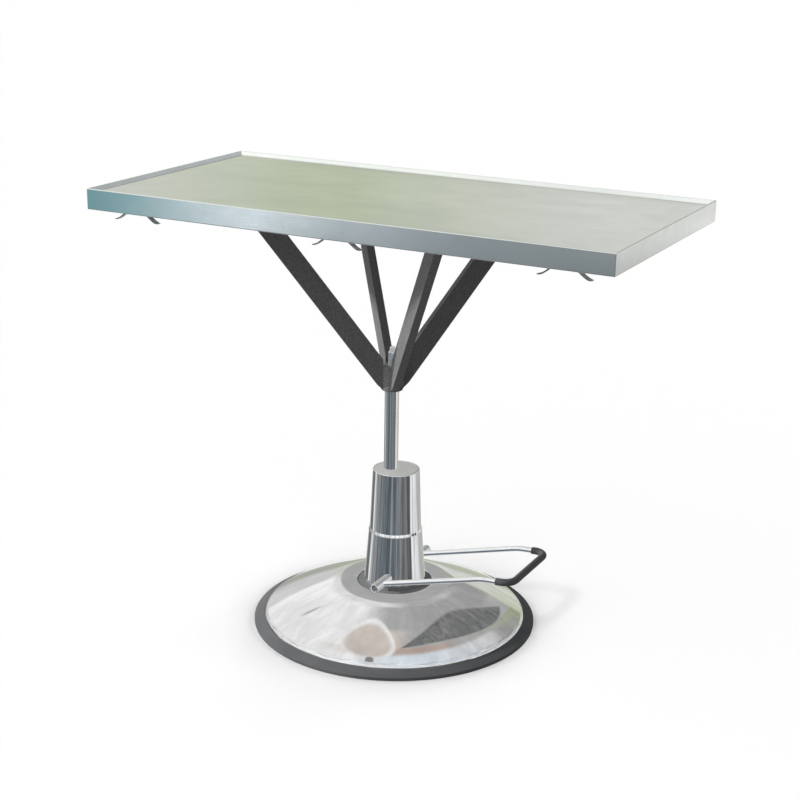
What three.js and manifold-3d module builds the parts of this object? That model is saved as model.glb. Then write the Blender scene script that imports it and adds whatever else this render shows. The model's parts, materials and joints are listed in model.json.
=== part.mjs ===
// A hydraulic veterinary examination table: a raised-rim steel tray on four arms, carried by a
// ram that slides and turns in a pedal-operated pump, on a domed base with a rubber bumper.
// Millimetres, +Z up. The origin is on the floor under the middle of the base and of the tray.
// +X runs along the tray towards the pedal, and -Y is the front.
import * as THREE from "three";
import { mergeVertices } from "three/addons/utils/BufferGeometryUtils.js";
import Module from "manifold-3d";

const wasm = await Module();
wasm.setup();

// Clearances and sheet thicknesses
const GAP = 0.3;
const COVER_SHEET = 1.5;
const DOME_SHEET = 2.3;

// Tray
const TRAY_LENGTH = 1200;
const TRAY_WIDTH = 600;
const TRAY_TOP = 984.5;
const SKIRT_HEIGHT = 45;
const RIM_DEPTH = 10;
const RIM_TOP_WIDTH = 4;
const RIM_FOOT_WIDTH = 9;
const TRAY_SHEET = 2;
const SKIRT_SHEET = 1.5;
const FLANGE_WIDTH = 40;
const SKIRT_BOTTOM = TRAY_TOP - SKIRT_HEIGHT;
const PAN_FLOOR = TRAY_TOP - RIM_DEPTH;

// Core board and rails under the tray
const CORE_THICKNESS = 18;
const CORE_MARGIN = 10;
const CORE_TOP = PAN_FLOOR - TRAY_SHEET - GAP;
const CORE_BOTTOM = CORE_TOP - CORE_THICKNESS;
const RAIL_LENGTH = 500;
const RAIL_WIDTH = 60;
const RAIL_THICKNESS = 5;
const RAIL_OFFSET = 208;
const RAIL_TOP = CORE_BOTTOM - GAP;
const RAIL_BOTTOM = RAIL_TOP - RAIL_THICKNESS;
const RAIL_SCREW_SPAN = 230;
const RAIL_SCREW_RADIUS = 4;
const RAIL_SCREW_FLATS = 13;
const RAIL_SCREW_HEAD = 5.3;
const RAIL_SCREW_GRIP = 13;

// Leash cleats
const CLEAT_SPACING = 490;
const CLEAT_INSET = 30;
const CLEAT_HALF_LENGTH = 55.8;
const CLEAT_DROP = 17;
const CLEAT_WIDTH = 13;
const CLEAT_THICKNESS = 3;
const CLEAT_FLAT = 20;
const RIVET_RADIUS = 3;
const RIVET_HEAD_RADIUS = 5;
const RIVET_HEAD_DEPTH = 6;

// Ram, hub and arms, all round the ram's axis
const RAM_X = -14;
const RAM_RADIUS = 16;
const RAM_BOTTOM = 224.6;
const RAM_SHOULDER = 588;
const STUD_RADIUS = 6;
const STUD_TOP = 646;
const HUB_RADIUS = 25;
const HUB_BOTTOM = 547.4;
const HUB_TOP = 603;
const HUB_ROUNDING = 8.5;
const NUT_TOP = 635;
const NUT_FLATS = 17.5;
const ARM_SLOPE = THREE.MathUtils.degToRad(53.5);
const ARM_DEPTH = 44;
const ARM_WIDTH = 18;
const ARM_WALL = 2.5;
const ARM_START_Z = 548.5;
const ARM_FILLED_LENGTH = 60;
const ARM_TRIM_Z = 551.5;

// Pump covers
const COVER_BOTTOM = 109;
const COVER_BOTTOM_RADIUS = 69.2;
const SEAM_BOTTOM = 219.3;
const SEAM_TOP = 225.7;
const SEAM_RADIUS = 60.8;
const SEAM_TOP_RADIUS = 59.6;
const UPPER_COVER_BOTTOM = 212;
const UPPER_COVER_BOTTOM_RADIUS = 58.9;
const COVER_TOP = 364.6;
const COVER_TOP_RADIUS = 52.7;
const COVER_TOP_ROUNDING = 4;
const CAP_RADIUS = 48.4;
const CAP_THICKNESS = 2.8;

// Pump
const CYLINDER_BORE = 18.5;
const CYLINDER_RADIUS = 22;
const CYLINDER_BOTTOM = 20;
const CYLINDER_FLOOR = 28;
const CYLINDER_TOP = 330.7;
const BUSH_BOTTOM = 300;
const TANK_RADIUS = 48;
const TANK_WALL = 2.5;
const HEAD_TOP = 346;
const SEAL_RADIUS = 19.7;
const SEAL_HEIGHT = 7;
const WIPER_TOP = HEAD_TOP + 13;
const PISTON_BOTTOM = 200;
const PISTON_TOP = 222;
const PISTON_GROOVE_BOTTOM = 208;
const PISTON_GROOVE_TOP = 215;
const PISTON_GROOVE_RADIUS = 14.5;
const FOOT_RADIUS = 68.3;
const FOOT_SIDES = 12;
const FOOT_BODY_RADIUS = 60;
const FOOT_CUP_RADIUS = 52.5;
const FOOT_FLANGE_TOP = COVER_BOTTOM - 0.4;
const FOOT_FLOOR_TOP = 108;
const FOOT_BOLT_RADIUS = 5;
const FOOT_BOLT_FLATS = 16;
const FOOT_BOLT_HEAD = 6.4;
const FOOT_TOP = 150;
const FOOT_BOLT_CIRCLE = 50;
const VALVE_Y = -38;
const VALVE_RADIUS = 6;
const VALVE_FLATS = 13;

// Base
const RING_RADIUS = 321;
const RING_SIDE_HEIGHT = 7.5;
const DOME_RADIUS = 296.5;
const DOME_RIM_HEIGHT = 17;
const DOME_EDGE_HEIGHT = 6.2;
const DOME_HOLE_RADIUS = 86.3;
const DOME_TOP = 95.5;
const PLATEAU_RADIUS = 118;
const RING_LIP_RADIUS = 282;
const BASE_PLATE_BOTTOM = 9.3;
const BASE_PLATE_THICKNESS = 6;
const BASE_PLATE_HOLE = 56;
const MOUNTING_PLATE_TOP = DOME_TOP - DOME_SHEET - GAP;
const MOUNTING_PLATE_THICKNESS = 8;
const MOUNTING_PLATE_RADIUS = 112;
const SUPPORT_RADIUS = 66;
const SUPPORT_WALL = 4;

// Pedal, its cross shaft and the plunger that it drives
const SHAFT_X = 16;
const SHAFT_Z = 123.5;
const SHAFT_RADIUS = 7;
const SHAFT_HALF_LENGTH = 127;
const BOSS_RADIUS = 10.5;
const BOSS_INNER_Y = 62.6;
const BOSS_OUTER_Y = 130.5;
const BUSH_RADIUS = 10;
const BUSH_INNER_Y = 46;
const BUSH_OUTER_Y = 61.8;
const BAR_RADIUS = 6;
const BAR_Y = 97.5;
const BAR_BEND_X = 265;
const BAR_BEND_Z = 190;
const BAR_END_X = 331.5;
const BAR_END_Z = 192.5;
const BAR_CORNER_RADIUS = 24;
const GRIP_RADIUS = 8;
const GRIP_START_X = 296.5;
const BAR_STEPS = 96;
const GRIP_STEPS = 28;
const CRANK_REACH = 26;
const CRANK_ANGLE = THREE.MathUtils.degToRad(13);
const CRANK_TIP_RADIUS = 5;
const CRANK_HALF_DEPTH = 3;
const CRANK_WIDTH = 12;
const PLUNGER_X = SHAFT_X + CRANK_REACH - 0.3;
const PLUNGER_RADIUS = 6;
const PLUNGER_HEAD_RADIUS = 8.4;
const PLUNGER_HEAD_DEPTH = 4;
const PLUNGER_TOP = 124;
const PLUNGER_BOTTOM = 62;
const BARREL_RADIUS = 11;
const BARREL_BOTTOM = 34;
const BARREL_TOP = 104;
const BARREL_FLOOR = 6;
const SPRING_RADIUS = 7.6;
const SPRING_WIRE_RADIUS = 1;
const SPRING_TURNS = 2.2;

// Facets round a large, an ordinary, a smaller and a small circle
const LARGE_ROUND = 40;
const ROUND = 24;
const MEDIUM_ROUND = 20;
const SMALL_ROUND = 12;

// Finishes
const finish = (color, roughness, metalness) =>
  new THREE.MeshStandardMaterial({ color, roughness, metalness });
const stainless = finish(0xb9c2bf, 0.3, 1);
const chrome = finish(0xd4d7d8, 0.08, 1);
const polished = finish(0xcfd2cf, 0.06, 1);
const blackPaint = finish(0x3f3f3f, 0.65, 0.1);
const greyPaint = finish(0x6d6f70, 0.55, 0.2);
const capPaint = finish(0xb0b0af, 0.45, 0.4);
const plainSteel = finish(0x8d9093, 0.4, 1);
const castIron = finish(0x4a4b4c, 0.7, 0.5);
const bronze = finish(0xa9803c, 0.35, 1);
const rubber = finish(0x56585a, 0.85, 0);
const sealRubber = finish(0x26282a, 0.6, 0);
const gripRubber = finish(0x3a3b3c, 0.8, 0);
const wood = finish(0xb08d5f, 0.75, 0);

const table = new THREE.Group();

// A round part about a vertical axis from its closed [radius, height] outline.
function turned(outline, segments = ROUND) {
  const points = outline.map(([r, z]) => new THREE.Vector2(r, z));
  const onAxis = points[0].x === 0 && points.at(-1).x === 0;
  const clockwise = THREE.ShapeUtils.isClockWise(points);
  if (clockwise) points.reverse();
  if (!onAxis) points.push(points[0].clone());
  return new THREE.LatheGeometry(points, segments).rotateX(Math.PI / 2);
}

const disc = (radius, low, high, segments) =>
  turned([[0, low], [radius, low], [radius, high], [0, high]], segments);

const ring = (inner, outer, low, high, segments) =>
  turned([[inner, low], [outer, low], [outer, high], [inner, high]], segments);

// A disc along Y, from one y to another, centred on the cross shaft's axis.
const crossDisc = (radius, from, to, segments = MEDIUM_ROUND) =>
  disc(radius, from, to, segments).rotateX(-Math.PI / 2).translate(SHAFT_X, 0, SHAFT_Z);

const crossRing = (inner, outer, from, to, segments = MEDIUM_ROUND) =>
  ring(inner, outer, from, to, segments).rotateX(-Math.PI / 2).translate(SHAFT_X, 0, SHAFT_Z);

// A block between two corners.
function block(low, high) {
  const size = high.map((value, axis) => value - low[axis]);
  const centre = high.map((value, axis) => (value + low[axis]) / 2);
  return new THREE.BoxGeometry(...size).translate(...centre);
}

// A block with sloping sides, whose bottom and top are centred rectangles of different sizes.
function slopingBlock(bottomSize, topSize, low, high) {
  const shape = new THREE.BoxGeometry(1, 1, 1);
  const place = shape.attributes.position;
  for (let i = 0; i < place.count; i += 1) {
    const isTop = place.getZ(i) > 0;
    const size = isTop ? topSize : bottomSize;
    place.setXYZ(i, place.getX(i) * size[0], place.getY(i) * size[1], isTop ? high : low);
  }
  return shape;
}

// A flat outline in the X-Z plane, extruded along Y about the plane y = 0.
function plateAlongY(shape, width, curveSegments = 12) {
  const options = { depth: width, bevelEnabled: false, curveSegments };
  return new THREE.ExtrudeGeometry(shape, options).rotateX(Math.PI / 2).translate(0, width / 2, 0);
}

// A hexagonal prism about a vertical axis.
const hexagon = (flats, low, high) => disc(flats / Math.sqrt(3), low, high, 6);

function toSolid(geometry) {
  const bare = geometry.clone();
  bare.deleteAttribute("normal");
  bare.deleteAttribute("uv");
  const merged = mergeVertices(bare, 1e-4);
  const vertProperties = new Float32Array(merged.attributes.position.array);
  const triVerts = new Uint32Array(merged.index.array);
  return new wasm.Manifold(new wasm.Mesh({ numProp: 3, vertProperties, triVerts }));
}

function toGeometry(solid) {
  const mesh = solid.getMesh();
  const geometry = new THREE.BufferGeometry();
  geometry.setAttribute("position", new THREE.BufferAttribute(mesh.vertProperties, 3));
  geometry.setIndex(new THREE.BufferAttribute(mesh.triVerts, 1));
  geometry.computeVertexNormals();
  return geometry;
}

const joined = (first, ...others) =>
  toGeometry(others.reduce((solid, other) => solid.add(toSolid(other)), toSolid(first)));

const cut = (first, ...others) =>
  toGeometry(others.reduce((solid, other) => solid.subtract(toSolid(other)), toSolid(first)));

function add(name, geometry, material, x = 0, y = 0, z = 0) {
  const mesh = new THREE.Mesh(geometry, material);
  mesh.name = name;
  mesh.position.set(x, y, z);
  table.add(mesh);
  return mesh;
}

// The dome's outer surface from its hole's edge to its rim: a flat top that rolls over into a
// long shallow slope and a tight shoulder. Returned as [radius, height] points.
function domeOutline(steps) {
  const curve = new THREE.CurvePath();
  const at = (r, z) => new THREE.Vector2(r, z);
  const slopeStart = at(165, 82);
  const shoulder = at(284, 28.5);
  curve.add(new THREE.LineCurve(at(DOME_HOLE_RADIUS, DOME_TOP), at(PLATEAU_RADIUS, DOME_TOP)));
  curve.add(new THREE.CubicBezierCurve(at(PLATEAU_RADIUS, DOME_TOP), at(138, DOME_TOP),
    at(150, 88.5), slopeStart));
  curve.add(new THREE.CubicBezierCurve(slopeStart, at(206, 64.5), at(250, 48), shoulder));
  curve.add(new THREE.CubicBezierCurve(shoulder, at(291, 25), at(DOME_RADIUS, 22.5),
    at(DOME_RADIUS, DOME_RIM_HEIGHT)));
  const points = curve.curves.flatMap((part, index) =>
    part.getPoints(steps[index]).slice(index === 0 ? 0 : 1));
  points.push(at(DOME_RADIUS, DOME_EDGE_HEIGHT));
  return points;
}

function addBase() {
  const outer = domeOutline([1, 3, 3, 3]);
  const inner = outer.map((point, index) => {
    const before = outer[Math.max(index - 1, 0)];
    const after = outer[Math.min(index + 1, outer.length - 1)];
    const along = after.clone().sub(before).normalize();
    return point.clone().add(new THREE.Vector2(along.y, -along.x).multiplyScalar(DOME_SHEET));
  });
  const shell = [...outer, ...inner.reverse()].map((point) => [point.x, point.y]);
  add("base_dome", turned(shell, LARGE_ROUND), polished);

  const innerWall = DOME_RADIUS - DOME_SHEET - GAP;
  const ringOutline = [
    [RING_LIP_RADIUS, 0],
    [RING_RADIUS - 1.5, 0],
    [RING_RADIUS, 1.5],
    [RING_RADIUS, RING_SIDE_HEIGHT],
    [DOME_RADIUS + 3, DOME_RIM_HEIGHT],
    [DOME_RADIUS + GAP, DOME_RIM_HEIGHT],
    [DOME_RADIUS + GAP, DOME_EDGE_HEIGHT - GAP],
    [innerWall, DOME_EDGE_HEIGHT - GAP],
    [innerWall, BASE_PLATE_BOTTOM - GAP],
    [RING_LIP_RADIUS, BASE_PLATE_BOTTOM - GAP],
  ];
  add("bumper_ring", turned(ringOutline, LARGE_ROUND), rubber);

  const plateTop = BASE_PLATE_BOTTOM + BASE_PLATE_THICKNESS;
  const basePlate = ring(BASE_PLATE_HOLE, innerWall - 1, BASE_PLATE_BOTTOM, plateTop, LARGE_ROUND);
  add("base_plate", basePlate, greyPaint);

  const mountingBottom = MOUNTING_PLATE_TOP - MOUNTING_PLATE_THICKNESS;
  const support = ring(SUPPORT_RADIUS - SUPPORT_WALL, SUPPORT_RADIUS, plateTop + GAP,
    mountingBottom - GAP, ROUND);
  add("support_tube", support, greyPaint);

  const holes = boltPlaces().map(([x, y]) =>
    disc(FOOT_BOLT_RADIUS + 0.4, mountingBottom - 1, MOUNTING_PLATE_TOP + 1, SMALL_ROUND).translate(x, y, 0));
  const cylinderHole = disc(CYLINDER_RADIUS + GAP, mountingBottom - 1, MOUNTING_PLATE_TOP + 1);
  const barrelHole = disc(BARREL_RADIUS + GAP, mountingBottom - 1, MOUNTING_PLATE_TOP + 1, MEDIUM_ROUND);
  const plate = cut(
    disc(MOUNTING_PLATE_RADIUS, mountingBottom, MOUNTING_PLATE_TOP),
    cylinderHole.translate(RAM_X, 0, 0),
    barrelHole.translate(PLUNGER_X, 0, 0),
    ...holes,
  );
  add("mounting_plate", plate, greyPaint);
}

function boltPlaces() {
  return [30, 150, 210, 330].map((degrees) => {
    const angle = THREE.MathUtils.degToRad(degrees);
    return [FOOT_BOLT_CIRCLE * Math.cos(angle), FOOT_BOLT_CIRCLE * Math.sin(angle)];
  });
}

// The pump's foot is a cast cup on a flange with twelve flats, drilled for the pump's own parts.
function addPumpFoot() {
  const bottom = MOUNTING_PLATE_TOP + GAP;
  const cup = turned([
    [0, bottom],
    [FOOT_BODY_RADIUS, bottom],
    [FOOT_BODY_RADIUS, FOOT_TOP],
    [FOOT_CUP_RADIUS, FOOT_TOP],
    [FOOT_CUP_RADIUS, FOOT_FLOOR_TOP],
    [0, FOOT_FLOOR_TOP],
  ]);
  const flange = disc(FOOT_RADIUS, bottom, FOOT_FLANGE_TOP, FOOT_SIDES).rotateZ(Math.PI / FOOT_SIDES);
  const hollow = disc(FOOT_CUP_RADIUS, FOOT_FLOOR_TOP, FOOT_TOP + 1);
  const boltHoles = boltPlaces().map(([x, y]) =>
    disc(FOOT_BOLT_RADIUS + 0.4, bottom - 1, FOOT_FLOOR_TOP - 3, SMALL_ROUND).translate(x, y, 0));
  const valveHole = disc(VALVE_RADIUS + GAP, bottom - 1, FOOT_FLOOR_TOP + 1, SMALL_ROUND);
  const foot = cut(
    joined(cup, flange),
    hollow,
    disc(CYLINDER_RADIUS + GAP, bottom - 1, FOOT_FLOOR_TOP + 1).translate(RAM_X, 0, 0),
    disc(BARREL_RADIUS + GAP, bottom - 1, FOOT_FLOOR_TOP + 1, MEDIUM_ROUND).translate(PLUNGER_X, 0, 0),
    valveHole.translate(0, VALVE_Y, 0),
    crossDisc(BUSH_RADIUS + GAP, -FOOT_RADIUS - 1, FOOT_RADIUS + 1),
    ...boltHoles,
  );
  add("pump_foot", foot, castIron);

  const headTop = MOUNTING_PLATE_TOP - MOUNTING_PLATE_THICKNESS - GAP;
  boltPlaces().forEach(([x, y], index) => {
    const head = hexagon(FOOT_BOLT_FLATS, headTop - FOOT_BOLT_HEAD, headTop);
    const bolt = joined(head, disc(FOOT_BOLT_RADIUS, headTop - 1, FOOT_FLOOR_TOP - 4, SMALL_ROUND));
    add("foot_bolt_" + (index + 1), bolt, plainSteel, x, y);
  });

  const valve = joined(disc(VALVE_RADIUS, bottom + 4, FOOT_FLOOR_TOP + 2, SMALL_ROUND),
    hexagon(VALVE_FLATS, FOOT_FLOOR_TOP + GAP, FOOT_FLOOR_TOP + 6));
  add("release_valve", valve, plainSteel, 0, VALVE_Y);

  for (const [side, from, to] of [
    ["front", -BUSH_OUTER_Y, -BUSH_INNER_Y],
    ["rear", BUSH_INNER_Y, BUSH_OUTER_Y],
  ]) {
    add("shaft_bush_" + side, crossRing(SHAFT_RADIUS + GAP, BUSH_RADIUS, from, to), bronze);
  }
}

function addPump() {
  const cylinderOutline = [
    [0, CYLINDER_BOTTOM],
    [CYLINDER_RADIUS, CYLINDER_BOTTOM],
    [CYLINDER_RADIUS, CYLINDER_TOP],
    [CYLINDER_BORE, CYLINDER_TOP],
    [CYLINDER_BORE, CYLINDER_FLOOR],
    [0, CYLINDER_FLOOR],
  ];
  add("ram_cylinder", turned(cylinderOutline), plainSteel, RAM_X);

  const tankBottom = FOOT_TOP + GAP;
  const tankOutline = [
    [0, tankBottom],
    [FOOT_BODY_RADIUS - 2, tankBottom],
    [FOOT_BODY_RADIUS - 2, tankBottom + 4],
    [TANK_RADIUS, tankBottom + 4],
    [TANK_RADIUS, CYLINDER_TOP],
    [TANK_RADIUS - TANK_WALL, CYLINDER_TOP],
    [TANK_RADIUS - TANK_WALL, tankBottom + 4],
    [0, tankBottom + 4],
  ];
  const cylinderHole = disc(CYLINDER_RADIUS + GAP, tankBottom - 1, tankBottom + 5);
  add("oil_tank", cut(turned(tankOutline), cylinderHole.translate(RAM_X, 0, 0)), castIron);

  const headBottom = CYLINDER_TOP + GAP;
  const rodHole = disc(RAM_RADIUS + 0.5, headBottom - 1, HEAD_TOP + 1);
  const sealSeat = disc(SEAL_RADIUS + GAP, HEAD_TOP - SEAL_HEIGHT - 1, HEAD_TOP + 1);
  const head = cut(disc(TANK_RADIUS, headBottom, HEAD_TOP), rodHole.translate(RAM_X, 0, 0),
    sealSeat.translate(RAM_X, 0, 0));
  add("tank_head", head, castIron);

  const rodClearance = RAM_RADIUS + GAP;
  add("guide_bush", ring(rodClearance, CYLINDER_BORE - GAP, BUSH_BOTTOM, CYLINDER_TOP), bronze, RAM_X);
  const seal = ring(rodClearance, SEAL_RADIUS, HEAD_TOP - SEAL_HEIGHT - 0.7, HEAD_TOP - 1);
  add("rod_seal", seal, sealRubber, RAM_X);
  const wiperOutline = [
    [rodClearance, HEAD_TOP - 0.7],
    [SEAL_RADIUS, HEAD_TOP - 0.7],
    [SEAL_RADIUS, WIPER_TOP - 6],
    [SEAL_RADIUS - 1.7, WIPER_TOP],
    [rodClearance, WIPER_TOP],
  ];
  add("wiper_ring", turned(wiperOutline), sealRubber, RAM_X);

  const barrel = turned([
    [0, BARREL_BOTTOM],
    [BARREL_RADIUS, BARREL_BOTTOM],
    [BARREL_RADIUS, BARREL_TOP],
    [PLUNGER_RADIUS + GAP, BARREL_TOP],
    [PLUNGER_RADIUS + GAP, BARREL_BOTTOM + BARREL_FLOOR],
    [0, BARREL_BOTTOM + BARREL_FLOOR],
  ], MEDIUM_ROUND);
  add("plunger_barrel", barrel, plainSteel, PLUNGER_X);
}

function addCovers() {
  const lowerTop = SEAM_BOTTOM - GAP;
  const lowerOutline = [
    [COVER_BOTTOM_RADIUS - COVER_SHEET, COVER_BOTTOM],
    [COVER_BOTTOM_RADIUS, COVER_BOTTOM],
    [SEAM_RADIUS, lowerTop],
    [SEAM_RADIUS - COVER_SHEET, lowerTop],
  ];
  const reach = COVER_BOTTOM_RADIUS + 5;
  const bossHoles = crossDisc(BOSS_RADIUS + 0.6, -reach, reach);
  add("lower_cover", cut(turned(lowerOutline, LARGE_ROUND), bossHoles), chrome);

  const bandInner = UPPER_COVER_BOTTOM_RADIUS + GAP;
  const band = turned([
    [bandInner, SEAM_BOTTOM],
    [SEAM_RADIUS, SEAM_BOTTOM],
    [SEAM_RADIUS, SEAM_BOTTOM + 2],
    [SEAM_TOP_RADIUS, SEAM_TOP],
    [bandInner, SEAM_TOP],
  ], LARGE_ROUND);
  add("seam_band", band, chrome);

  const roundCentreRadius = COVER_TOP_RADIUS - COVER_TOP_ROUNDING;
  const roundCentreHeight = COVER_TOP - COVER_TOP_ROUNDING;
  const shoulder = [0, 30, 60, 90].map((degrees) => {
    const angle = THREE.MathUtils.degToRad(degrees);
    return [
      roundCentreRadius + COVER_TOP_ROUNDING * Math.cos(angle),
      roundCentreHeight + COVER_TOP_ROUNDING * Math.sin(angle),
    ];
  });
  const ledgeTop = COVER_TOP - CAP_THICKNESS - 2 * GAP;
  const upperOutline = [
    [UPPER_COVER_BOTTOM_RADIUS - COVER_SHEET, UPPER_COVER_BOTTOM],
    [UPPER_COVER_BOTTOM_RADIUS, UPPER_COVER_BOTTOM],
    ...shoulder,
    [roundCentreRadius, ledgeTop],
    [CAP_RADIUS - 4, ledgeTop],
    [CAP_RADIUS - 4, ledgeTop - COVER_SHEET],
    [COVER_TOP_RADIUS - COVER_SHEET, ledgeTop - COVER_SHEET],
  ];
  add("upper_cover", turned(upperOutline, LARGE_ROUND), chrome);

  const capBottom = ledgeTop + GAP;
  const rodHole = disc(RAM_RADIUS + 1, capBottom - 1, COVER_TOP + 1);
  const capDisc = disc(CAP_RADIUS, capBottom, capBottom + CAP_THICKNESS, LARGE_ROUND);
  add("top_cap", cut(capDisc, rodHole.translate(RAM_X, 0, 0)), capPaint);
}

function addRam() {
  const pistonRadius = CYLINDER_BORE - GAP;
  const piston = turned([
    [0, PISTON_BOTTOM],
    [pistonRadius, PISTON_BOTTOM],
    [pistonRadius, PISTON_GROOVE_BOTTOM],
    [PISTON_GROOVE_RADIUS, PISTON_GROOVE_BOTTOM],
    [PISTON_GROOVE_RADIUS, PISTON_GROOVE_TOP],
    [pistonRadius, PISTON_GROOVE_TOP],
    [pistonRadius, PISTON_TOP],
    [0, PISTON_TOP],
  ]);
  add("piston_head", piston, plainSteel, RAM_X);
  const seal = ring(PISTON_GROOVE_RADIUS + GAP, pistonRadius, PISTON_GROOVE_BOTTOM + GAP,
    PISTON_GROOVE_TOP - GAP);
  add("piston_seal", seal, sealRubber, RAM_X);
  add("thrust_washer", ring(5, RAM_RADIUS - 1, PISTON_TOP + GAP, RAM_BOTTOM - GAP), bronze, RAM_X);

  const ram = turned([
    [0, RAM_BOTTOM],
    [RAM_RADIUS - 1, RAM_BOTTOM],
    [RAM_RADIUS, RAM_BOTTOM + 1],
    [RAM_RADIUS, RAM_SHOULDER],
    [STUD_RADIUS, RAM_SHOULDER],
    [STUD_RADIUS, STUD_TOP - 1.5],
    [STUD_RADIUS - 1.5, STUD_TOP],
    [0, STUD_TOP],
  ]);
  add("ram_rod", ram, chrome, RAM_X);

  const thread = disc(STUD_RADIUS + GAP, HUB_TOP, NUT_TOP + 1, SMALL_ROUND);
  add("ram_nut", cut(hexagon(NUT_FLATS, HUB_TOP + GAP, NUT_TOP), thread), plainSteel, RAM_X);
}

function addHub() {
  const roundCentreRadius = HUB_RADIUS - HUB_ROUNDING;
  const roundCentreHeight = HUB_BOTTOM + HUB_ROUNDING;
  const rounding = [-90, -60, -30, 0].map((degrees) => {
    const angle = THREE.MathUtils.degToRad(degrees);
    return [
      roundCentreRadius + HUB_ROUNDING * Math.cos(angle),
      roundCentreHeight + HUB_ROUNDING * Math.sin(angle),
    ];
  });
  const hub = turned([
    [RAM_RADIUS + GAP, HUB_BOTTOM],
    ...rounding,
    [HUB_RADIUS, HUB_TOP],
    [STUD_RADIUS + GAP, HUB_TOP],
    [STUD_RADIUS + GAP, RAM_SHOULDER + GAP],
    [RAM_RADIUS + GAP, RAM_SHOULDER + GAP],
  ]);
  add("hub_tube", hub, blackPaint, RAM_X);
}

// An arm is a rectangular tube. It leaves the hub at a saddle cut, with its lowest tip trimmed to
// a cone, and ends level under its rail.
function armGeometry() {
  const top = RAIL_BOTTOM - GAP;
  const rise = top - ARM_START_Z;
  const run = rise / Math.tan(ARM_SLOPE);
  const across = ARM_DEPTH / Math.sin(ARM_SLOPE);
  const foot = HUB_RADIUS - 6;
  const footZ = ARM_START_Z - 6 * Math.tan(ARM_SLOPE);
  const outline = (inset, start) => {
    const sideways = inset / Math.sin(ARM_SLOPE);
    const lift = start * Math.tan(ARM_SLOPE);
    const cap = inset ? 5 / Math.tan(ARM_SLOPE) : 0;
    return new THREE.Shape([
      new THREE.Vector2(foot + start - sideways, footZ + lift),
      new THREE.Vector2(HUB_RADIUS + run - sideways + cap, top + cap * Math.tan(ARM_SLOPE)),
      new THREE.Vector2(HUB_RADIUS + run - across + sideways + cap, top + cap * Math.tan(ARM_SLOPE)),
      new THREE.Vector2(foot + start - across + sideways, footZ + lift),
    ]);
  };
  const hubSpace = disc(HUB_RADIUS + GAP, HUB_BOTTOM - 60, HUB_TOP + 60);
  const trimReach = 35;
  const underside = turned([
    [0, ARM_TRIM_Z - 60],
    [HUB_RADIUS + trimReach, ARM_TRIM_Z - 60],
    [HUB_RADIUS + trimReach, ARM_TRIM_Z + trimReach],
    [HUB_RADIUS, ARM_TRIM_Z],
    [0, ARM_TRIM_Z],
  ], LARGE_ROUND);
  const hollowStart = ARM_FILLED_LENGTH * Math.cos(ARM_SLOPE);
  return cut(
    plateAlongY(outline(0, 0), ARM_WIDTH),
    plateAlongY(outline(ARM_WALL, hollowStart), ARM_WIDTH - 2 * ARM_WALL),
    hubSpace,
    underside,
    block([-200, -20, footZ - 20], [0, 20, top]),
  );
}

function addArms() {
  const corners = { front_left: 225, front_right: 315, rear_left: 135, rear_right: 45 };
  for (const [corner, degrees] of Object.entries(corners)) {
    const arm = add("arm_" + corner, armGeometry(), blackPaint, RAM_X);
    arm.rotation.z = THREE.MathUtils.degToRad(degrees);
  }
}

function addRails() {
  const places = [];
  for (const [side, y] of [["front", -RAIL_OFFSET], ["rear", RAIL_OFFSET]]) {
    const screws = [-RAIL_SCREW_SPAN / 2, RAIL_SCREW_SPAN / 2].map((x) => [RAM_X + x, y]);
    places.push(...screws);
    const low = [RAM_X - RAIL_LENGTH / 2, y - RAIL_WIDTH / 2, RAIL_BOTTOM];
    const high = [RAM_X + RAIL_LENGTH / 2, y + RAIL_WIDTH / 2, RAIL_TOP];
    const holes = screws.map(([sx, sy]) =>
      disc(RAIL_SCREW_RADIUS + 0.4, RAIL_BOTTOM - 1, RAIL_TOP + 1, SMALL_ROUND).translate(sx, sy, 0));
    add("rail_" + side, cut(block(low, high), ...holes), blackPaint);
  }
  places.forEach(([x, y], index) => {
    const screw = joined(
      hexagon(RAIL_SCREW_FLATS, RAIL_BOTTOM - GAP - RAIL_SCREW_HEAD, RAIL_BOTTOM - GAP),
      disc(RAIL_SCREW_RADIUS, RAIL_BOTTOM - 1, CORE_BOTTOM + RAIL_SCREW_GRIP, SMALL_ROUND),
    );
    add("rail_screw_" + (index + 1), screw, plainSteel, x, y);
  });
  const halfLength = TRAY_LENGTH / 2 - CORE_MARGIN;
  const halfWidth = TRAY_WIDTH / 2 - CORE_MARGIN;
  const pilotTop = CORE_BOTTOM + RAIL_SCREW_GRIP + 1;
  const pilots = places.map(([x, y]) =>
    disc(RAIL_SCREW_RADIUS + 0.4, CORE_BOTTOM - 1, pilotTop, SMALL_ROUND).translate(x, y, 0));
  const board = block([-halfLength, -halfWidth, CORE_BOTTOM], [halfLength, halfWidth, CORE_TOP]);
  add("core_board", cut(board, ...pilots), wood);
}

function addTray() {
  const shrunk = (inset) => [TRAY_LENGTH - 2 * inset, TRAY_WIDTH - 2 * inset];
  const under = SKIRT_BOTTOM + SKIRT_SHEET;
  const tray = cut(
    slopingBlock(shrunk(0), shrunk(0), SKIRT_BOTTOM, TRAY_TOP),
    slopingBlock(shrunk(RIM_FOOT_WIDTH), shrunk(RIM_TOP_WIDTH), PAN_FLOOR, TRAY_TOP + 0.001),
    slopingBlock(shrunk(SKIRT_SHEET), shrunk(SKIRT_SHEET), under, PAN_FLOOR - TRAY_SHEET),
    slopingBlock(shrunk(FLANGE_WIDTH), shrunk(FLANGE_WIDTH), SKIRT_BOTTOM - 1, under + 1),
    ...cleatPlaces().map(([x, y]) =>
      disc(RIVET_RADIUS + GAP, SKIRT_BOTTOM - 1, under + 1, SMALL_ROUND).translate(x, y, 0)),
  );
  add("table_tray", tray, stainless);
}

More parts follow.
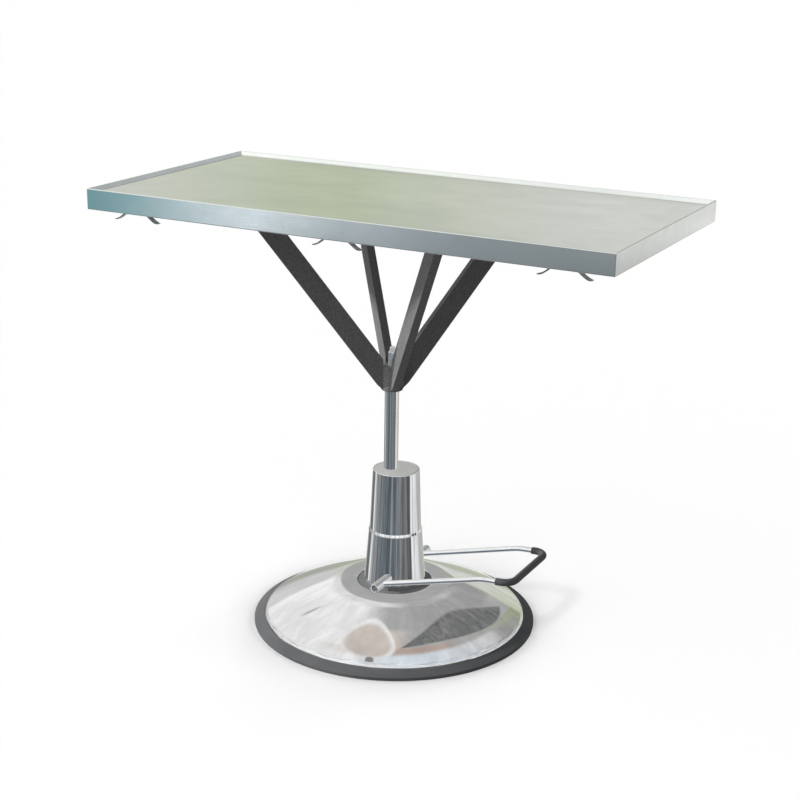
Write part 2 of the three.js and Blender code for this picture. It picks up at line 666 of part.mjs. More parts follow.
function cleatPlaces() {
  const y = TRAY_WIDTH / 2 - CLEAT_INSET;
  return [-y, y].flatMap((side) => [-CLEAT_SPACING, 0, CLEAT_SPACING].map((x) => [x, side]));
}

// A cleat is one bent strip, flat in the middle, with both ends swept down and out, and a rivet.
function cleatGeometry() {
  const top = -GAP;
  const half = CLEAT_THICKNESS / 2;
  const side = new THREE.CubicBezierCurve(
    new THREE.Vector2(CLEAT_FLAT, top - half),
    new THREE.Vector2(CLEAT_FLAT + 12, top - half),
    new THREE.Vector2(CLEAT_HALF_LENGTH - 16, top - half - CLEAT_DROP),
    new THREE.Vector2(CLEAT_HALF_LENGTH, top - half - CLEAT_DROP),
  ).getPoints(7);
  const line = [...side.map((point) => new THREE.Vector2(-point.x, point.y)).reverse(), ...side];
  const offset = (distance) => line.map((point, index) => {
    const before = line[Math.max(index - 1, 0)];
    const after = line[Math.min(index + 1, line.length - 1)];
    const along = after.clone().sub(before).normalize();
    return point.clone().add(new THREE.Vector2(-along.y, along.x).multiplyScalar(distance));
  });
  const shape = new THREE.Shape([...offset(-half), ...offset(half).reverse()]);
  const strip = plateAlongY(shape, CLEAT_WIDTH);
  const rivet = disc(RIVET_RADIUS, top - 1, SKIRT_SHEET + 1, SMALL_ROUND);
  const rivetHead = turned([
    [0, -RIVET_HEAD_DEPTH],
    [RIVET_HEAD_RADIUS / 2, 0.2 - RIVET_HEAD_DEPTH],
    [RIVET_HEAD_RADIUS, top - CLEAT_THICKNESS + 0.5],
    [0, top - 2],
  ], SMALL_ROUND);
  return joined(strip, rivet, rivetHead);
}

function addCleats() {
  const names = ["front_left", "front_middle", "front_right", "rear_left", "rear_middle", "rear_right"];
  cleatPlaces().forEach(([x, y], index) => {
    add("cleat_" + names[index], cleatGeometry(), stainless, x, y, SKIRT_BOTTOM);
  });
}

// The pedal bar's centreline between two distances along X, as one half and its mirror image: a
// rising side, a bend, a level stretch, a round corner and the far end.
function barCurve(from) {
  const at = (x, y, z) => new THREE.Vector3(x, y, z);
  const slope = (BAR_BEND_Z - SHAFT_Z) / (BAR_BEND_X - SHAFT_X);
  const bendReach = 14;
  const start = at(SHAFT_X, -BAR_Y, SHAFT_Z);
  const bend = at(BAR_BEND_X, -BAR_Y, BAR_BEND_Z);
  const beforeBend = at(BAR_BEND_X - bendReach, -BAR_Y, BAR_BEND_Z - bendReach * slope);
  const afterBend = at(BAR_BEND_X + bendReach, -BAR_Y, BAR_BEND_Z + 0.5);
  const levelStart = at(GRIP_START_X, -BAR_Y, BAR_END_Z - 1.2);
  const cornerStart = at(BAR_END_X - BAR_CORNER_RADIUS, -BAR_Y, BAR_END_Z - 0.6);
  const cornerPeak = at(BAR_END_X, -BAR_Y, BAR_END_Z);
  const cornerEnd = at(BAR_END_X, BAR_CORNER_RADIUS - BAR_Y, BAR_END_Z);
  const half = [
    [start, beforeBend],
    [beforeBend, bend, afterBend],
    [afterBend, levelStart],
    [levelStart, cornerStart],
    [cornerStart, cornerPeak, cornerEnd],
  ].filter((ends) => ends[0].x >= from);
  const mirrored = (ends) => ends.map((point) => at(point.x, -point.y, point.z)).reverse();
  const farEnd = [cornerEnd, at(cornerEnd.x, -cornerEnd.y, cornerEnd.z)];
  const curve = new THREE.CurvePath();
  for (const ends of [...half, farEnd, ...half.map(mirrored).reverse()]) {
    const isLine = ends.length === 2;
    curve.add(isLine ? new THREE.LineCurve3(...ends) : new THREE.QuadraticBezierCurve3(...ends));
  }
  return curve;
}

// A round bar along a curve, closed at both ends.
function tubeAlong(curve, radius, steps, sides = 8) {
  const circle = Array.from({ length: sides }, (_, k) => {
    const angle = (2 * Math.PI * k) / sides;
    return new THREE.Vector2(radius * Math.cos(angle), radius * Math.sin(angle));
  });
  return new THREE.ExtrudeGeometry(new THREE.Shape(circle), { extrudePath: curve, steps });
}

function addPedal() {
  add("pedal_shaft", crossDisc(SHAFT_RADIUS, -SHAFT_HALF_LENGTH, SHAFT_HALF_LENGTH), plainSteel);
  for (const [side, from, to] of [
    ["front", -BOSS_OUTER_Y, -BOSS_INNER_Y],
    ["rear", BOSS_INNER_Y, BOSS_OUTER_Y],
  ]) {
    add("pedal_boss_" + side, crossRing(SHAFT_RADIUS + GAP, BOSS_RADIUS, from, to), chrome);
  }

  const bosses = crossDisc(BOSS_RADIUS + GAP, -BOSS_OUTER_Y, BOSS_OUTER_Y);
  const bar = tubeAlong(barCurve(SHAFT_X), BAR_RADIUS, BAR_STEPS);
  add("pedal_bar", cut(bar, bosses), chrome);

  const sleeve = tubeAlong(barCurve(GRIP_START_X), GRIP_RADIUS, GRIP_STEPS, 10);
  const barSpace = tubeAlong(barCurve(BAR_BEND_X), BAR_RADIUS + 3 * GAP, BAR_STEPS / 2);
  add("pedal_grip", cut(sleeve, barSpace), gripRubber);

  const tipAngle = Math.PI - Math.asin(CRANK_HALF_DEPTH / CRANK_TIP_RADIUS);
  const arm = new THREE.Shape();
  arm.moveTo(2, -CRANK_HALF_DEPTH);
  arm.absarc(CRANK_REACH, 0, CRANK_TIP_RADIUS, -tipAngle, tipAngle, false);
  arm.lineTo(2, CRANK_HALF_DEPTH);
  const lever = plateAlongY(arm, CRANK_WIDTH, 8).rotateY(-CRANK_ANGLE).translate(SHAFT_X, 0, SHAFT_Z);
  const shaftSpace = crossDisc(SHAFT_RADIUS + GAP, -CRANK_WIDTH, CRANK_WIDTH);
  add("crank_lever", cut(lever, shaftSpace), plainSteel);
}

// The plunger spring's wire, from the barrel's top to the plunger's head.
class SpringCurve extends THREE.Curve {
  getPoint(t, target = new THREE.Vector3()) {
    const angle = 2 * Math.PI * SPRING_TURNS * t;
    const low = BARREL_TOP + 0.6 + SPRING_WIRE_RADIUS;
    const high = PLUNGER_TOP - PLUNGER_HEAD_DEPTH - 0.6 - SPRING_WIRE_RADIUS;
    const height = low + (high - low) * t;
    return target.set(SPRING_RADIUS * Math.cos(angle), SPRING_RADIUS * Math.sin(angle), height);
  }
}

function addPlunger() {
  const neck = PLUNGER_TOP - PLUNGER_HEAD_DEPTH;
  const plunger = turned([
    [0, PLUNGER_BOTTOM],
    [PLUNGER_RADIUS, PLUNGER_BOTTOM],
    [PLUNGER_RADIUS, neck],
    [PLUNGER_HEAD_RADIUS, neck],
    [PLUNGER_HEAD_RADIUS, PLUNGER_TOP],
    [0, PLUNGER_TOP],
  ], MEDIUM_ROUND);
  add("plunger", plunger, plainSteel, PLUNGER_X);
  add("plunger_spring", tubeAlong(new SpringCurve(), SPRING_WIRE_RADIUS, 28, 6), plainSteel, PLUNGER_X);
}

addBase();
addPumpFoot();
addPump();
addCovers();
addRam();
addHub();
addArms();
addRails();
addTray();
addCleats();
addPedal();
addPlunger();

export default table;
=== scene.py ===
"""The looks of a hydraulic veterinary examination table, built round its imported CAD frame.

Metres, +Z up, the origin on the floor under the middle of the base. +X runs along the tray
towards the pedal and -Y is the front. Every piece is placed from the CAD nodes' own boxes.
"""
import json
import math

import bmesh
import bpy
from mathutils import Matrix, Vector

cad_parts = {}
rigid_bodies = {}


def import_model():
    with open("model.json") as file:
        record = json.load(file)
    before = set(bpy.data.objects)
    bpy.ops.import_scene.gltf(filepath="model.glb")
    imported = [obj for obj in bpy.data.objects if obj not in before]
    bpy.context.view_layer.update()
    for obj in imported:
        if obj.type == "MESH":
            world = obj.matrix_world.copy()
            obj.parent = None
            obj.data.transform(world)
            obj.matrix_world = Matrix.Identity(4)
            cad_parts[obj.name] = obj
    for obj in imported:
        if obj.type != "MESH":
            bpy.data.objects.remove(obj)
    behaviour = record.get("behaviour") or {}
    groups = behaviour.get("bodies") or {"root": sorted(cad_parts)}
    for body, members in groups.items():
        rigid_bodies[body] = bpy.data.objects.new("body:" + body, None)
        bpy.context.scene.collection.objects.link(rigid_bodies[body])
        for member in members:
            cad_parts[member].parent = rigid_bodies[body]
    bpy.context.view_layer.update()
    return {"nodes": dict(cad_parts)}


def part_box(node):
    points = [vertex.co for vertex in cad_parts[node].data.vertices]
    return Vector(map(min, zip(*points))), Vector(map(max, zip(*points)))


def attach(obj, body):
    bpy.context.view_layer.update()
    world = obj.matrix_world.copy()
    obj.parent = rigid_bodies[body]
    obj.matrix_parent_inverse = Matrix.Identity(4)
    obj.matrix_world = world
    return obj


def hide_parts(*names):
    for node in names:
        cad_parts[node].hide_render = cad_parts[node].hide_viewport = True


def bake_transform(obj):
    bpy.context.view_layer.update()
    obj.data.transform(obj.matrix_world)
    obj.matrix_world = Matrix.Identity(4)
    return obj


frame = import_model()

MM = 0.001
FINEST = 256             # facets round the dome and the bumper
FINE = 192               # round a large turned piece
ROUND = 96               # round an ordinary one
SMALL = 48
GAP = 0.3 * MM           # clearance between neighbours
ENDS = (("front", -1), ("rear", 1))


# ---- places taken from the frame

def low(node):
    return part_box(node)[0]


def high(node):
    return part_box(node)[1]


def middle(node):
    return (low(node) + high(node)) / 2


def radius(node):
    return (high(node).x - low(node).x) / 2


RAM_X = middle("ram_rod").x
SHAFT = middle("pedal_shaft")


# ---- mesh tools

def make_object(name, points, faces):
    mesh = bpy.data.meshes.new(name)
    mesh.from_pydata([tuple(p) for p in points], [], faces)
    mesh.validate()
    piece = bpy.data.objects.new(name, mesh)
    bpy.context.scene.collection.objects.link(piece)
    return piece


NEARLY_STRAIGHT = math.pi - 0.02


def rounded(outline, radii, steps=5):
    """A closed outline of (x, y) points with its corners turned into arcs of the given radii."""
    result = []
    for i, corner in enumerate(outline):
        size = radii[i] if isinstance(radii, (list, tuple)) else radii
        here = Vector(corner)
        back = Vector(outline[i - 1]) - here
        ahead = Vector(outline[(i + 1) % len(outline)]) - here
        sharp = size <= 0 or min(back.length, ahead.length) < 1e-9
        if sharp or back.angle(ahead) > NEARLY_STRAIGHT:
            result.append(here)
            continue
        reach = min(size / math.tan(back.angle(ahead) / 2), back.length * 0.49, ahead.length * 0.49)
        first = here + back.normalized() * reach
        last = here + ahead.normalized() * reach
        for k in range(steps + 1):
            t = k / steps
            result.append(first * (1 - t) ** 2 + here * (2 * t * (1 - t)) + last * t ** 2)
    return result


def curve(corners, steps):
    """Points along a cubic Bezier stretch, from its first point to its last."""
    a, b, c, d = (Vector(p) for p in corners)
    return [a * (1 - t) ** 3 + b * 3 * t * (1 - t) ** 2 + c * 3 * t * t * (1 - t) + d * t ** 3
            for t in (k / steps for k in range(steps + 1))]


def ring_faces(rows, around):
    """Faces of a closed skin of rows of points, the last row joined to the first."""
    faces = []
    for i in range(rows):
        here, ahead = i * around, (i + 1) % rows * around
        for k in range(around):
            n = (k + 1) % around
            faces.append([here + k, here + n, ahead + n, ahead + k])
    return faces


def lathe(name, outline, segments=ROUND, centre=(0.0, 0.0), start=0.0):
    """A turned solid from its closed outline of (radius, height) points, about a vertical axis."""
    area = sum(a[0] * b[1] - b[0] * a[1] for a, b in zip(outline, [*outline[1:], outline[0]]))
    if area < 0:
        outline = list(reversed(outline))
    points, rows = [], []
    for r, z in outline:
        if r < 1e-7:
            rows.append([len(points)] * segments)
            points.append((centre[0], centre[1], z))
            continue
        rows.append(list(range(len(points), len(points) + segments)))
        for k in range(segments):
            angle = start + 2 * math.pi * k / segments
            points.append((centre[0] + r * math.cos(angle), centre[1] + r * math.sin(angle), z))
    faces = []
    for here, ahead in zip(rows, [*rows[1:], rows[0]]):
        for k in range(segments):
            n = (k + 1) % segments
            corners = [here[k], here[n], ahead[n], ahead[k]]
            face = [c for j, c in enumerate(corners) if c not in corners[:j]]
            if len(face) > 2:
                faces.append(face)
    return make_object(name, points, faces)


def make_box(name, centre, half):
    corners = [(centre[0] + a * half[0], centre[1] + b * half[1], centre[2] + c * half[2])
               for a in (-1, 1) for b in (-1, 1) for c in (-1, 1)]
    return make_object(name, corners, [[0, 1, 3, 2], [4, 6, 7, 5], [0, 4, 5, 1], [2, 3, 7, 6],
                                       [0, 2, 6, 4], [1, 5, 7, 3]])


def turn_to_cross_shaft(piece):
    """Lays a turned piece, made about the Z axis at the origin, along Y on the cross shaft."""
    turn = Matrix.Rotation(-math.pi / 2, 4, "X")
    piece.data.transform(Matrix.Translation((SHAFT.x, 0, SHAFT.z)) @ turn)
    return piece


def sweep(name, path, section, sizes=None):
    """A solid that carries a closed section of (sideways, up) points along a path. The section is
    scaled at each point of the path by its (sideways, up) sizes, if there are any."""
    count, sides = len(path), len(section)
    points = []
    for i, place in enumerate(path):
        along = (path[min(i + 1, count - 1)] - path[max(i - 1, 0)]).normalized()
        side = along.cross(Vector((0, 0, 1))).normalized()
        top = side.cross(along).normalized()
        wide, tall = sizes[i] if sizes else (1, 1)
        points += [place + side * a * wide + top * b * tall for a, b in section]
    faces = ring_faces(count, sides)[:(count - 1) * sides]
    faces.append(list(reversed(range(sides))))
    faces.append([(count - 1) * sides + k for k in range(sides)])
    piece = make_object(name, points, faces)
    face_outwards(piece)
    return piece


def face_outwards(piece):
    work = bmesh.new()
    work.from_mesh(piece.data)
    bmesh.ops.recalc_face_normals(work, faces=work.faces)
    work.to_mesh(piece.data)
    work.free()


def circle(size, sides):
    return [(size * math.cos(2 * math.pi * k / sides), size * math.sin(2 * math.pi * k / sides))
            for k in range(sides)]


def apply_modifiers(piece):
    graph = bpy.context.evaluated_depsgraph_get()
    made = bpy.data.meshes.new_from_object(piece.evaluated_get(graph))
    piece.modifiers.clear()
    piece.data = made


def bevel(piece, width, segments, angle):
    cut = piece.modifiers.new("edges", "BEVEL")
    cut.width = width
    cut.segments = segments
    cut.limit_method = "ANGLE"
    cut.angle_limit = math.radians(angle)
    cut.harden_normals = False


def round_edges(piece, width, segments, angle):
    bevel(piece, width, segments, angle)
    apply_modifiers(piece)


def smooth(piece, angle):
    for face in piece.data.polygons:
        face.use_smooth = True
    piece.data.set_sharp_from_angle(angle=math.radians(angle))


def weigh_normals(piece):
    """Keeps broad faces flat or truly round beside their small edge rounds."""
    normals = piece.modifiers.new("normals", "WEIGHTED_NORMAL")
    normals.keep_sharp = True


def cut_away(piece, tool):
    """Removes the tool's space from a piece, and the tool from the scene."""
    boolean = piece.modifiers.new("cut", "BOOLEAN")
    boolean.operation = "DIFFERENCE"
    boolean.solver = "EXACT"
    boolean.object = tool
    apply_modifiers(piece)
    bpy.data.objects.remove(tool)


def drill(piece, size, start, end, centre=(0, 0), across=False, facets=SMALL):
    """Bores a round hole between two heights or, across, between two points along Y."""
    tool = lathe("bore", [(0, start), (size, start), (size, end), (0, end)], facets, centre)
    cut_away(piece, turn_to_cross_shaft(tool) if across else tool)


def clear_pump(piece):
    """Bores a piece for the pump's upright cylinders."""
    for node in ("ram_cylinder", "plunger_barrel"):
        drill(piece, radius(node) + GAP, 0.05, 0.2, (middle(node).x, 0))


def show(piece, body, look, replaces=(), angle=32):
    """Finishes a piece: smooth shading, its material, its body and what it stands for."""
    smooth(piece, angle)
    if look is not DOME:
        weigh_normals(piece)
    piece.data.materials.clear()
    piece.data.materials.append(look)
    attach(piece, body)
    if replaces:
        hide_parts(*replaces)


# ---- material tools

def linear(code):
    """A colour written as six hex digits, as linear red, green, blue and alpha."""
    values = [int(code[i:i + 2], 16) / 255 for i in (0, 2, 4)]
    return [*(v / 12.92 if v <= 0.04045 else ((v + 0.055) / 1.055) ** 2.4 for v in values), 1.0]


class Nodes:
    """Short ways to add nodes to a tree. A value is a number, a colour or another node's output."""

    def __init__(self, tree):
        self.tree = tree
        self.tree.nodes.clear()
        self.place = None

    def link(self, source, target):
        self.tree.links.new(source, target)

    def new(self, kind, sockets=()):
        """A node with its sockets, named or numbered, given their values."""
        node = self.tree.nodes.new("ShaderNode" + kind)
        self.feed(node, sockets)
        return node

    def feed(self, node, sockets):
        for socket, value in dict(sockets).items():
            if isinstance(value, str):
                value = linear(value)
            if isinstance(value, (int, float, list, tuple)):
                node.inputs[socket].default_value = value
            else:
                self.link(value, node.inputs[socket])

    def stretched(self, scale, place=None):
        return self.new("Mapping", {"Scale": scale, "Vector": place or self.place}).outputs[0]

    def noise(self, scale, detail=3.0, roughness=0.5, place=None, distortion=0.0):
        return self.new("TexNoise", {
            "Scale": 1.0, "Detail": detail, "Roughness": roughness, "Distortion": distortion,
            "Vector": self.stretched(scale, place)}).outputs["Fac"]

    def cells(self, scale):
        node = self.new("TexVoronoi", {"Scale": 1.0, "Vector": self.stretched(scale)})
        node.feature = "SMOOTH_F1"
        return node.outputs["Distance"]

    def spread(self, source, out_low, out_high, in_low=0.3, in_high=0.7):
        return self.new("MapRange", {
            "From Min": in_low, "From Max": in_high, "To Min": out_low, "To Max": out_high,
            "Value": source}).outputs["Result"]

    def step(self, source, start, finish):
        """0 before start and 1 after finish, with a smooth change between them."""
        node = self.new("MapRange", {"From Min": start, "From Max": finish, "Value": source})
        node.interpolation_type = "SMOOTHSTEP"
        return node.outputs["Result"]

    def maths(self, kind, *values):
        node = self.new("Math", enumerate(values))
        node.operation = kind
        return node.outputs[0]

    def squares(self, a, b):
        return self.maths("ADD", self.maths("MULTIPLY", a, a), self.maths("MULTIPLY", b, b))

    def ramp(self, source, stops, blend="LINEAR"):
        node = self.new("ValToRGB")
        node.color_ramp.interpolation = blend
        elements = node.color_ramp.elements
        while len(elements) < len(stops):
            elements.new(0.5)
        for element, (position, colour) in zip(elements, stops):
            element.position = position
        for element, (position, colour) in zip(elements, stops):
            element.color = linear(colour) if isinstance(colour, str) else colour
        self.link(source, node.inputs["Fac"])
        return node.outputs["Color"]

    def mix(self, factor, a, b):
        node = self.new("Mix")
        node.data_type = "RGBA"
        self.feed(node, {0: factor, 6: a, 7: b})
        return node.outputs[2]

    def parts(self):
        return self.new("SeparateXYZ", {0: self.place}).outputs

    def joined(self, *values):
        return self.new("CombineXYZ", enumerate(values)).outputs[0]

    def scaled(self, colour, factor):
        node = self.new("VectorMath")
        node.operation = "SCALE"
        self.feed(node, {0: colour, "Scale": factor})
        return node.outputs[0]


class Look(Nodes):
    """A procedural material, built node by node on one Principled shader."""

    def __init__(self, name, metallic, roughness):
        self.material = bpy.data.materials.new(name)
        self.material.use_nodes = True
        super().__init__(self.material.node_tree)
        self.shader = self.new("BsdfPrincipled")
        self.new("OutputMaterial", {0: self.shader.outputs[0]})
        self.place = self.new("TexCoord").outputs["Object"]
        self.feed(self.shader, {"Metallic": metallic, "Roughness": roughness})
        self.height = None

    def bump(self, source, depth, strength=1.0):
        node = self.new("Bump", {"Strength": strength, "Distance": depth, "Height": source})
        if self.height is not None:
            self.link(self.height, node.inputs["Normal"])
        self.height = node.outputs[0]
        self.link(self.height, self.shader.inputs["Normal"])

    def colour(self, source):
        self.feed(self.shader, {"Base Color": source})

    def roughness(self, source):
        self.feed(self.shader, {"Roughness": source})


def shades(colour, amount):
    """Two neighbours of a colour, darker and lighter by a share."""
    red_green_blue = linear(colour)[:3]
    dark = [c * (1 - amount) for c in red_green_blue]
    light = [min(1.0, c * (1 + amount)) for c in red_green_blue]
    return [*dark, 1.0], [*light, 1.0]


def worn(look, colour, amount, scale=(9, 9, 9)):
    """Uneven tone: broad soft patches over a colour."""
    dark, light = shades(colour, amount)
    look.colour(look.ramp(look.noise(scale, 4, 0.6), [(0.32, dark), (0.68, light)]))


# ---- materials

def sheet_steel():
    """Satin stainless sheet: a fine grain along its length, soft blotches and wiped marks."""
    look = Look("satin_stainless", 1.0, 0.17)
    grain = look.noise((9, 1100, 1100), 2, 0.6)
    wiped = look.noise((3.0, 5.0, 5.0), 3, 0.55, distortion=0.8)
    blotch = look.noise((9, 14, 14), 4, 0.6, distortion=0.4)
    speck = look.noise((240, 240, 240), 3, 0.6)
    tone = look.ramp(blotch, [(0.3, "ecefeb"), (0.7, "f7f8f6")])
    tone = look.mix(look.spread(wiped, 0.0, 0.6), tone, "e6ebe3")
    look.colour(look.mix(look.spread(speck, 0.0, 0.22, 0.45, 0.75), tone, "c9cec8"))
    rough = look.maths("ADD", look.spread(wiped, 0.10, 0.17), look.spread(grain, -0.015, 0.03))
    look.roughness(rough)
    look.bump(grain, 0.00001, 0.35)
    look.bump(look.noise((2.4, 3.2, 2.4), 2, 0.5), 0.0007, 0.5)
    return look.material


def strip_steel():
    """The bent cleats' bright strip, with drawn lines along it."""
    look = Look("cleat_strip", 1.0, 0.2)
    lines = look.noise((30, 1400, 200), 2, 0.5)
    # Painted shade: the strip's base colour is kept far darker than bright steel, for the tray's
    # shade over it; the patches on it are uneven tone
    worn(look, "868b8c", 0.22, (60, 60, 60))
    look.roughness(look.spread(lines, 0.14, 0.32))
    look.bump(lines, 0.00002, 0.5)
    return look.material


def chrome(name, colour, smudge_scale, low_rough, high_rough, lines=0.0):
    """Bright plating: nearly mirror, with wiped smudges, slight orange peel and, where it was
    ground before plating, fine lines along the part."""
    look = Look(name, 1.0, low_rough)
    smudge = look.noise(smudge_scale, 4, 0.6, distortion=0.6)
    hair = look.noise((420, 420, 1.5), 3, 0.8)
    rough = look.maths("ADD", look.spread(smudge, low_rough, high_rough, 0.42, 0.75),
                       look.spread(hair, 0.0, 0.02, 0.55, 0.7))
    look.roughness(rough)
    dark, light = shades(colour, 0.035)
    tone = look.ramp(smudge, [(0.35, light), (0.7, dark)])
    if lines:
        tone = look.mix(look.spread(hair, 0.0, lines, 0.38, 0.62), tone, shades(colour, 0.45)[0])
    look.colour(tone)
    look.bump(look.noise((60, 60, 25), 2, 0.5), 0.000005, 0.35)
    return look.material


def dome_steel():
    """Mirror-polished steel, spun: faint rings from the polishing wheel, and wiped smears."""
    look = Look("dome_polish", 1.0, 0.05)
    x, y, z = look.parts()
    span = look.maths("POWER", look.squares(x, y), 0.5)
    turn = look.maths("ARCTAN2", y, x)
    rings = look.noise((700, 1.5, 1), 2, 0.6, place=look.joined(span, turn, 0.0))
    smear = look.noise((14, 3, 1), 3, 0.6, place=look.joined(span, turn, 0.0), distortion=0.5)
    fleck = look.noise((170, 170, 170), 3, 0.65)
    rough = look.maths("ADD", look.spread(smear, 0.012, 0.04, 0.45, 0.8),
                       look.spread(rings, 0.0, 0.012, 0.5, 0.75))
    look.roughness(rough)
    tone = look.ramp(smear, [(0.35, "f7f7f7"), (0.7, "ededed")])
    look.colour(look.mix(look.spread(fleck, 0.0, 0.10, 0.5, 0.75), tone, "c4c4c4"))
    look.bump(rings, 0.000004, 0.2)
    look.bump(look.noise((6, 6, 6), 2, 0.5), 0.0003, 0.3)
    return look.material


def powder_coat():
    """Wrinkle-finish black powder coat: pale crests as a painted highlight, dark creases as painted
    shade, and rubbed patches.
    """
    look = Look("wrinkle_powder_coat", 0.0, 0.55)
    wrinkle_and_painted_shade = look.cells((190, 190, 190))
    grit_and_painted_highlight = look.noise((420, 420, 420), 3, 0.65)
    patches = look.noise((14, 14, 14), 3, 0.6)
    tone = look.ramp(patches, [(0.3, "606060"), (0.7, "6a6a6a")])
    # Painted shade: the colour darkens towards 464646 with the wrinkle pattern that also shapes the
    # bump
    tone = look.mix(look.spread(wrinkle_and_painted_shade, 0.0, 0.5, 0.15, 0.65), tone, "464646")
    # Painted highlight: the colour lightens towards 7c7c7c where the grit is raised
    look.colour(look.mix(look.spread(grit_and_painted_highlight, 0.0, 0.5, 0.52, 0.7), tone, "7c7c7c"))
    look.roughness(look.spread(grit_and_painted_highlight, 0.5, 0.75))
    look.bump(wrinkle_and_painted_shade, 0.0011, 0.9)
    look.bump(grit_and_painted_highlight, 0.00012, 0.5)
    return look.material


def rubber(name, colour, grain, low_rough=0.55, high_rough=0.8):
    """Moulded rubber, with a fine pebble, dusty patches and scuffs."""
    look = Look(name, 0.0, high_rough)
    dust = look.noise((7, 7, 30), 4, 0.65)
    scuff = look.noise((40, 40, 160), 3, 0.7)
    dark, light = shades(colour, 0.22)
    tone = look.ramp(dust, [(0.3, dark), (0.7, light)])
    look.colour(look.mix(look.spread(scuff, 0.0, 0.22, 0.6, 0.8), tone, shades(colour, 0.7)[1]))
    look.roughness(look.spread(dust, low_rough, high_rough))
    look.bump(look.cells((grain, grain, grain)), 0.00012, 0.45)
    look.bump(look.noise((grain * 3, grain * 3, grain * 3), 2, 0.5), 0.00003, 0.3)
    return look.material


def paint(name, colour, low_rough=0.32, high_rough=0.5):
    """Satin enamel with a slight orange peel and faint wear."""
    look = Look(name, 0.0, low_rough)
    worn(look, colour, 0.08, (18, 18, 18))
    look.roughness(look.spread(look.noise((60, 60, 60), 3, 0.6), low_rough, high_rough))
    look.bump(look.noise((420, 420, 420), 2, 0.5), 0.00005, 0.35)
    return look.material


def casting():
    """Painted cast iron: dimpled skin under dark paint."""
    look = Look("painted_casting", 0.25, 0.5)
    worn(look, "828485", 0.2, (60, 60, 60))
    look.roughness(look.spread(look.noise((240, 240, 240), 3, 0.6), 0.38, 0.62))
    look.bump(look.noise((330, 330, 330), 4, 0.6), 0.0003, 0.55)
    return look.material


def machined(name, colour, low_rough=0.22, high_rough=0.42):
    """Turned metal: fine lines round the part and dull spots."""
    look = Look(name, 1.0, low_rough)
    lines = look.noise((60, 60, 2600), 2, 0.6)
    worn(look, colour, 0.12, (90, 90, 90))
    look.roughness(look.spread(lines, low_rough, high_rough))
    look.bump(lines, 0.00002, 0.4)
    return look.material


def board():
    """The core board's sealed underside: pale grey laminate with a faint grain and marks."""
    look = Look("core_laminate", 0.0, 0.5)
    fibre = look.noise((6, 160, 160), 4, 0.65)
    stain = look.noise((5, 5, 5), 4, 0.6)
    tone = look.ramp(fibre, [(0.3, "9a958b"), (0.7, "b3aea4")])
    look.colour(look.mix(look.spread(stain, 0.0, 0.35), tone, "8a857c"))
    look.roughness(look.spread(stain, 0.42, 0.62))
    look.bump(fibre, 0.00006, 0.4)
    return look.material


STEEL = sheet_steel()
STRIP = strip_steel()
RAM_CHROME = chrome("ram_chrome", "f2f3f4", (30, 30, 12), 0.05, 0.10, 0.25)
COVER_CHROME = chrome("cover_chrome", "f3f4f5", (16, 16, 7), 0.02, 0.05, 0.3)
PEDAL_CHROME = chrome("pedal_chrome", "f2f3f4", (60, 60, 60), 0.03, 0.09)
DOME = dome_steel()
COAT = powder_coat()
BUMPER = rubber("bumper_rubber", "555658", 500, 0.6, 0.85)
GRIP = rubber("grip_rubber", "4a4b4d", 900, 0.5, 0.7)
SEAL = rubber("seal_rubber", "222325", 1200)
CAP = paint("cap_enamel", "b2b2b0")
PLATE = paint("plate_enamel", "6a6b6c")
CAST = casting()
PLAIN = machined("plain_steel", "b4b7b9")
NUT = machined("nut_steel", "f2f2f0", 0.18, 0.3)
BRONZE = machined("bearing_bronze", "b08a4c")
LAMINATE = board()


# ---- tray and what hangs under it

SMALLEST_CORNER = 0.4 * MM


def tray_rows(rows, corner):
    """A closed skin from rows of (inset, height): each row is the tray's outline, drawn in by
    its inset. The last row joins the first."""
    half_x, half_y = high("table_tray").x, high("table_tray").y
    points = []
    steps = 6
    for inset, z in rows:
        x, y = half_x - inset, half_y - inset
        size = max(corner - inset, SMALLEST_CORNER)
        for cx, cy, start in ((x, y, 0), (-x, y, 90), (-x, -y, 180), (x, -y, 270)):
            sx, sy = (1 if cx > 0 else -1), (1 if cy > 0 else -1)
            for k in range(steps + 1):
                angle = math.radians(start + 90 * k / steps)
                points.append((cx - sx * size + size * math.cos(angle),
                               cy - sy * size + size * math.sin(angle), z))
    around = 4 * (steps + 1)
    return points, ring_faces(len(rows), around), around


def make_tray():
    top, bottom = high("table_tray").z, low("table_tray").z
    floor = top - 10 * MM
    sheet = 1.6 * MM
    fold = 2.0 * MM
    # Round the section: up the skirt, over the folded top, down the inner slope, to the pan's edge
    outside = rounded([
        (38 * MM, bottom), (0.0, bottom), (0.0, top), (3.8 * MM, top),
        (8.2 * MM, floor + 0.4 * MM), (30 * MM, floor),
    ], [0, fold, fold, 0.9 * MM, 4 * MM, 0], 6)
    inside = rounded([
        (30 * MM, floor - sheet), (7.4 * MM, floor - sheet), (4.4 * MM, top - 2.4 * MM),
        (sheet, top - 2.0 * MM), (sheet, bottom + sheet), (38 * MM, bottom + sheet),
    ], [0, 3 * MM, 0.6 * MM, 0.6 * MM, 0.8 * MM, 0], 4)
    rows = [*outside, *inside]
    points, faces, around = tray_rows(rows, 2.2 * MM)
    # The pan's floor closes the inner edge, above and below; the rows between them are dropped
    last_out = len(outside) - 1
    first_in = len(outside)
    faces = [f for f in faces if not (f[0] // around == last_out and f[2] // around == first_in)]
    faces += pan_floor(points, last_out * around, around)
    faces += pan_floor(points, first_in * around, around)
    tray = make_object("tray_pan", points, faces)
    face_outwards(tray)
    show(tray, "top", STEEL, ["table_tray"], 40)


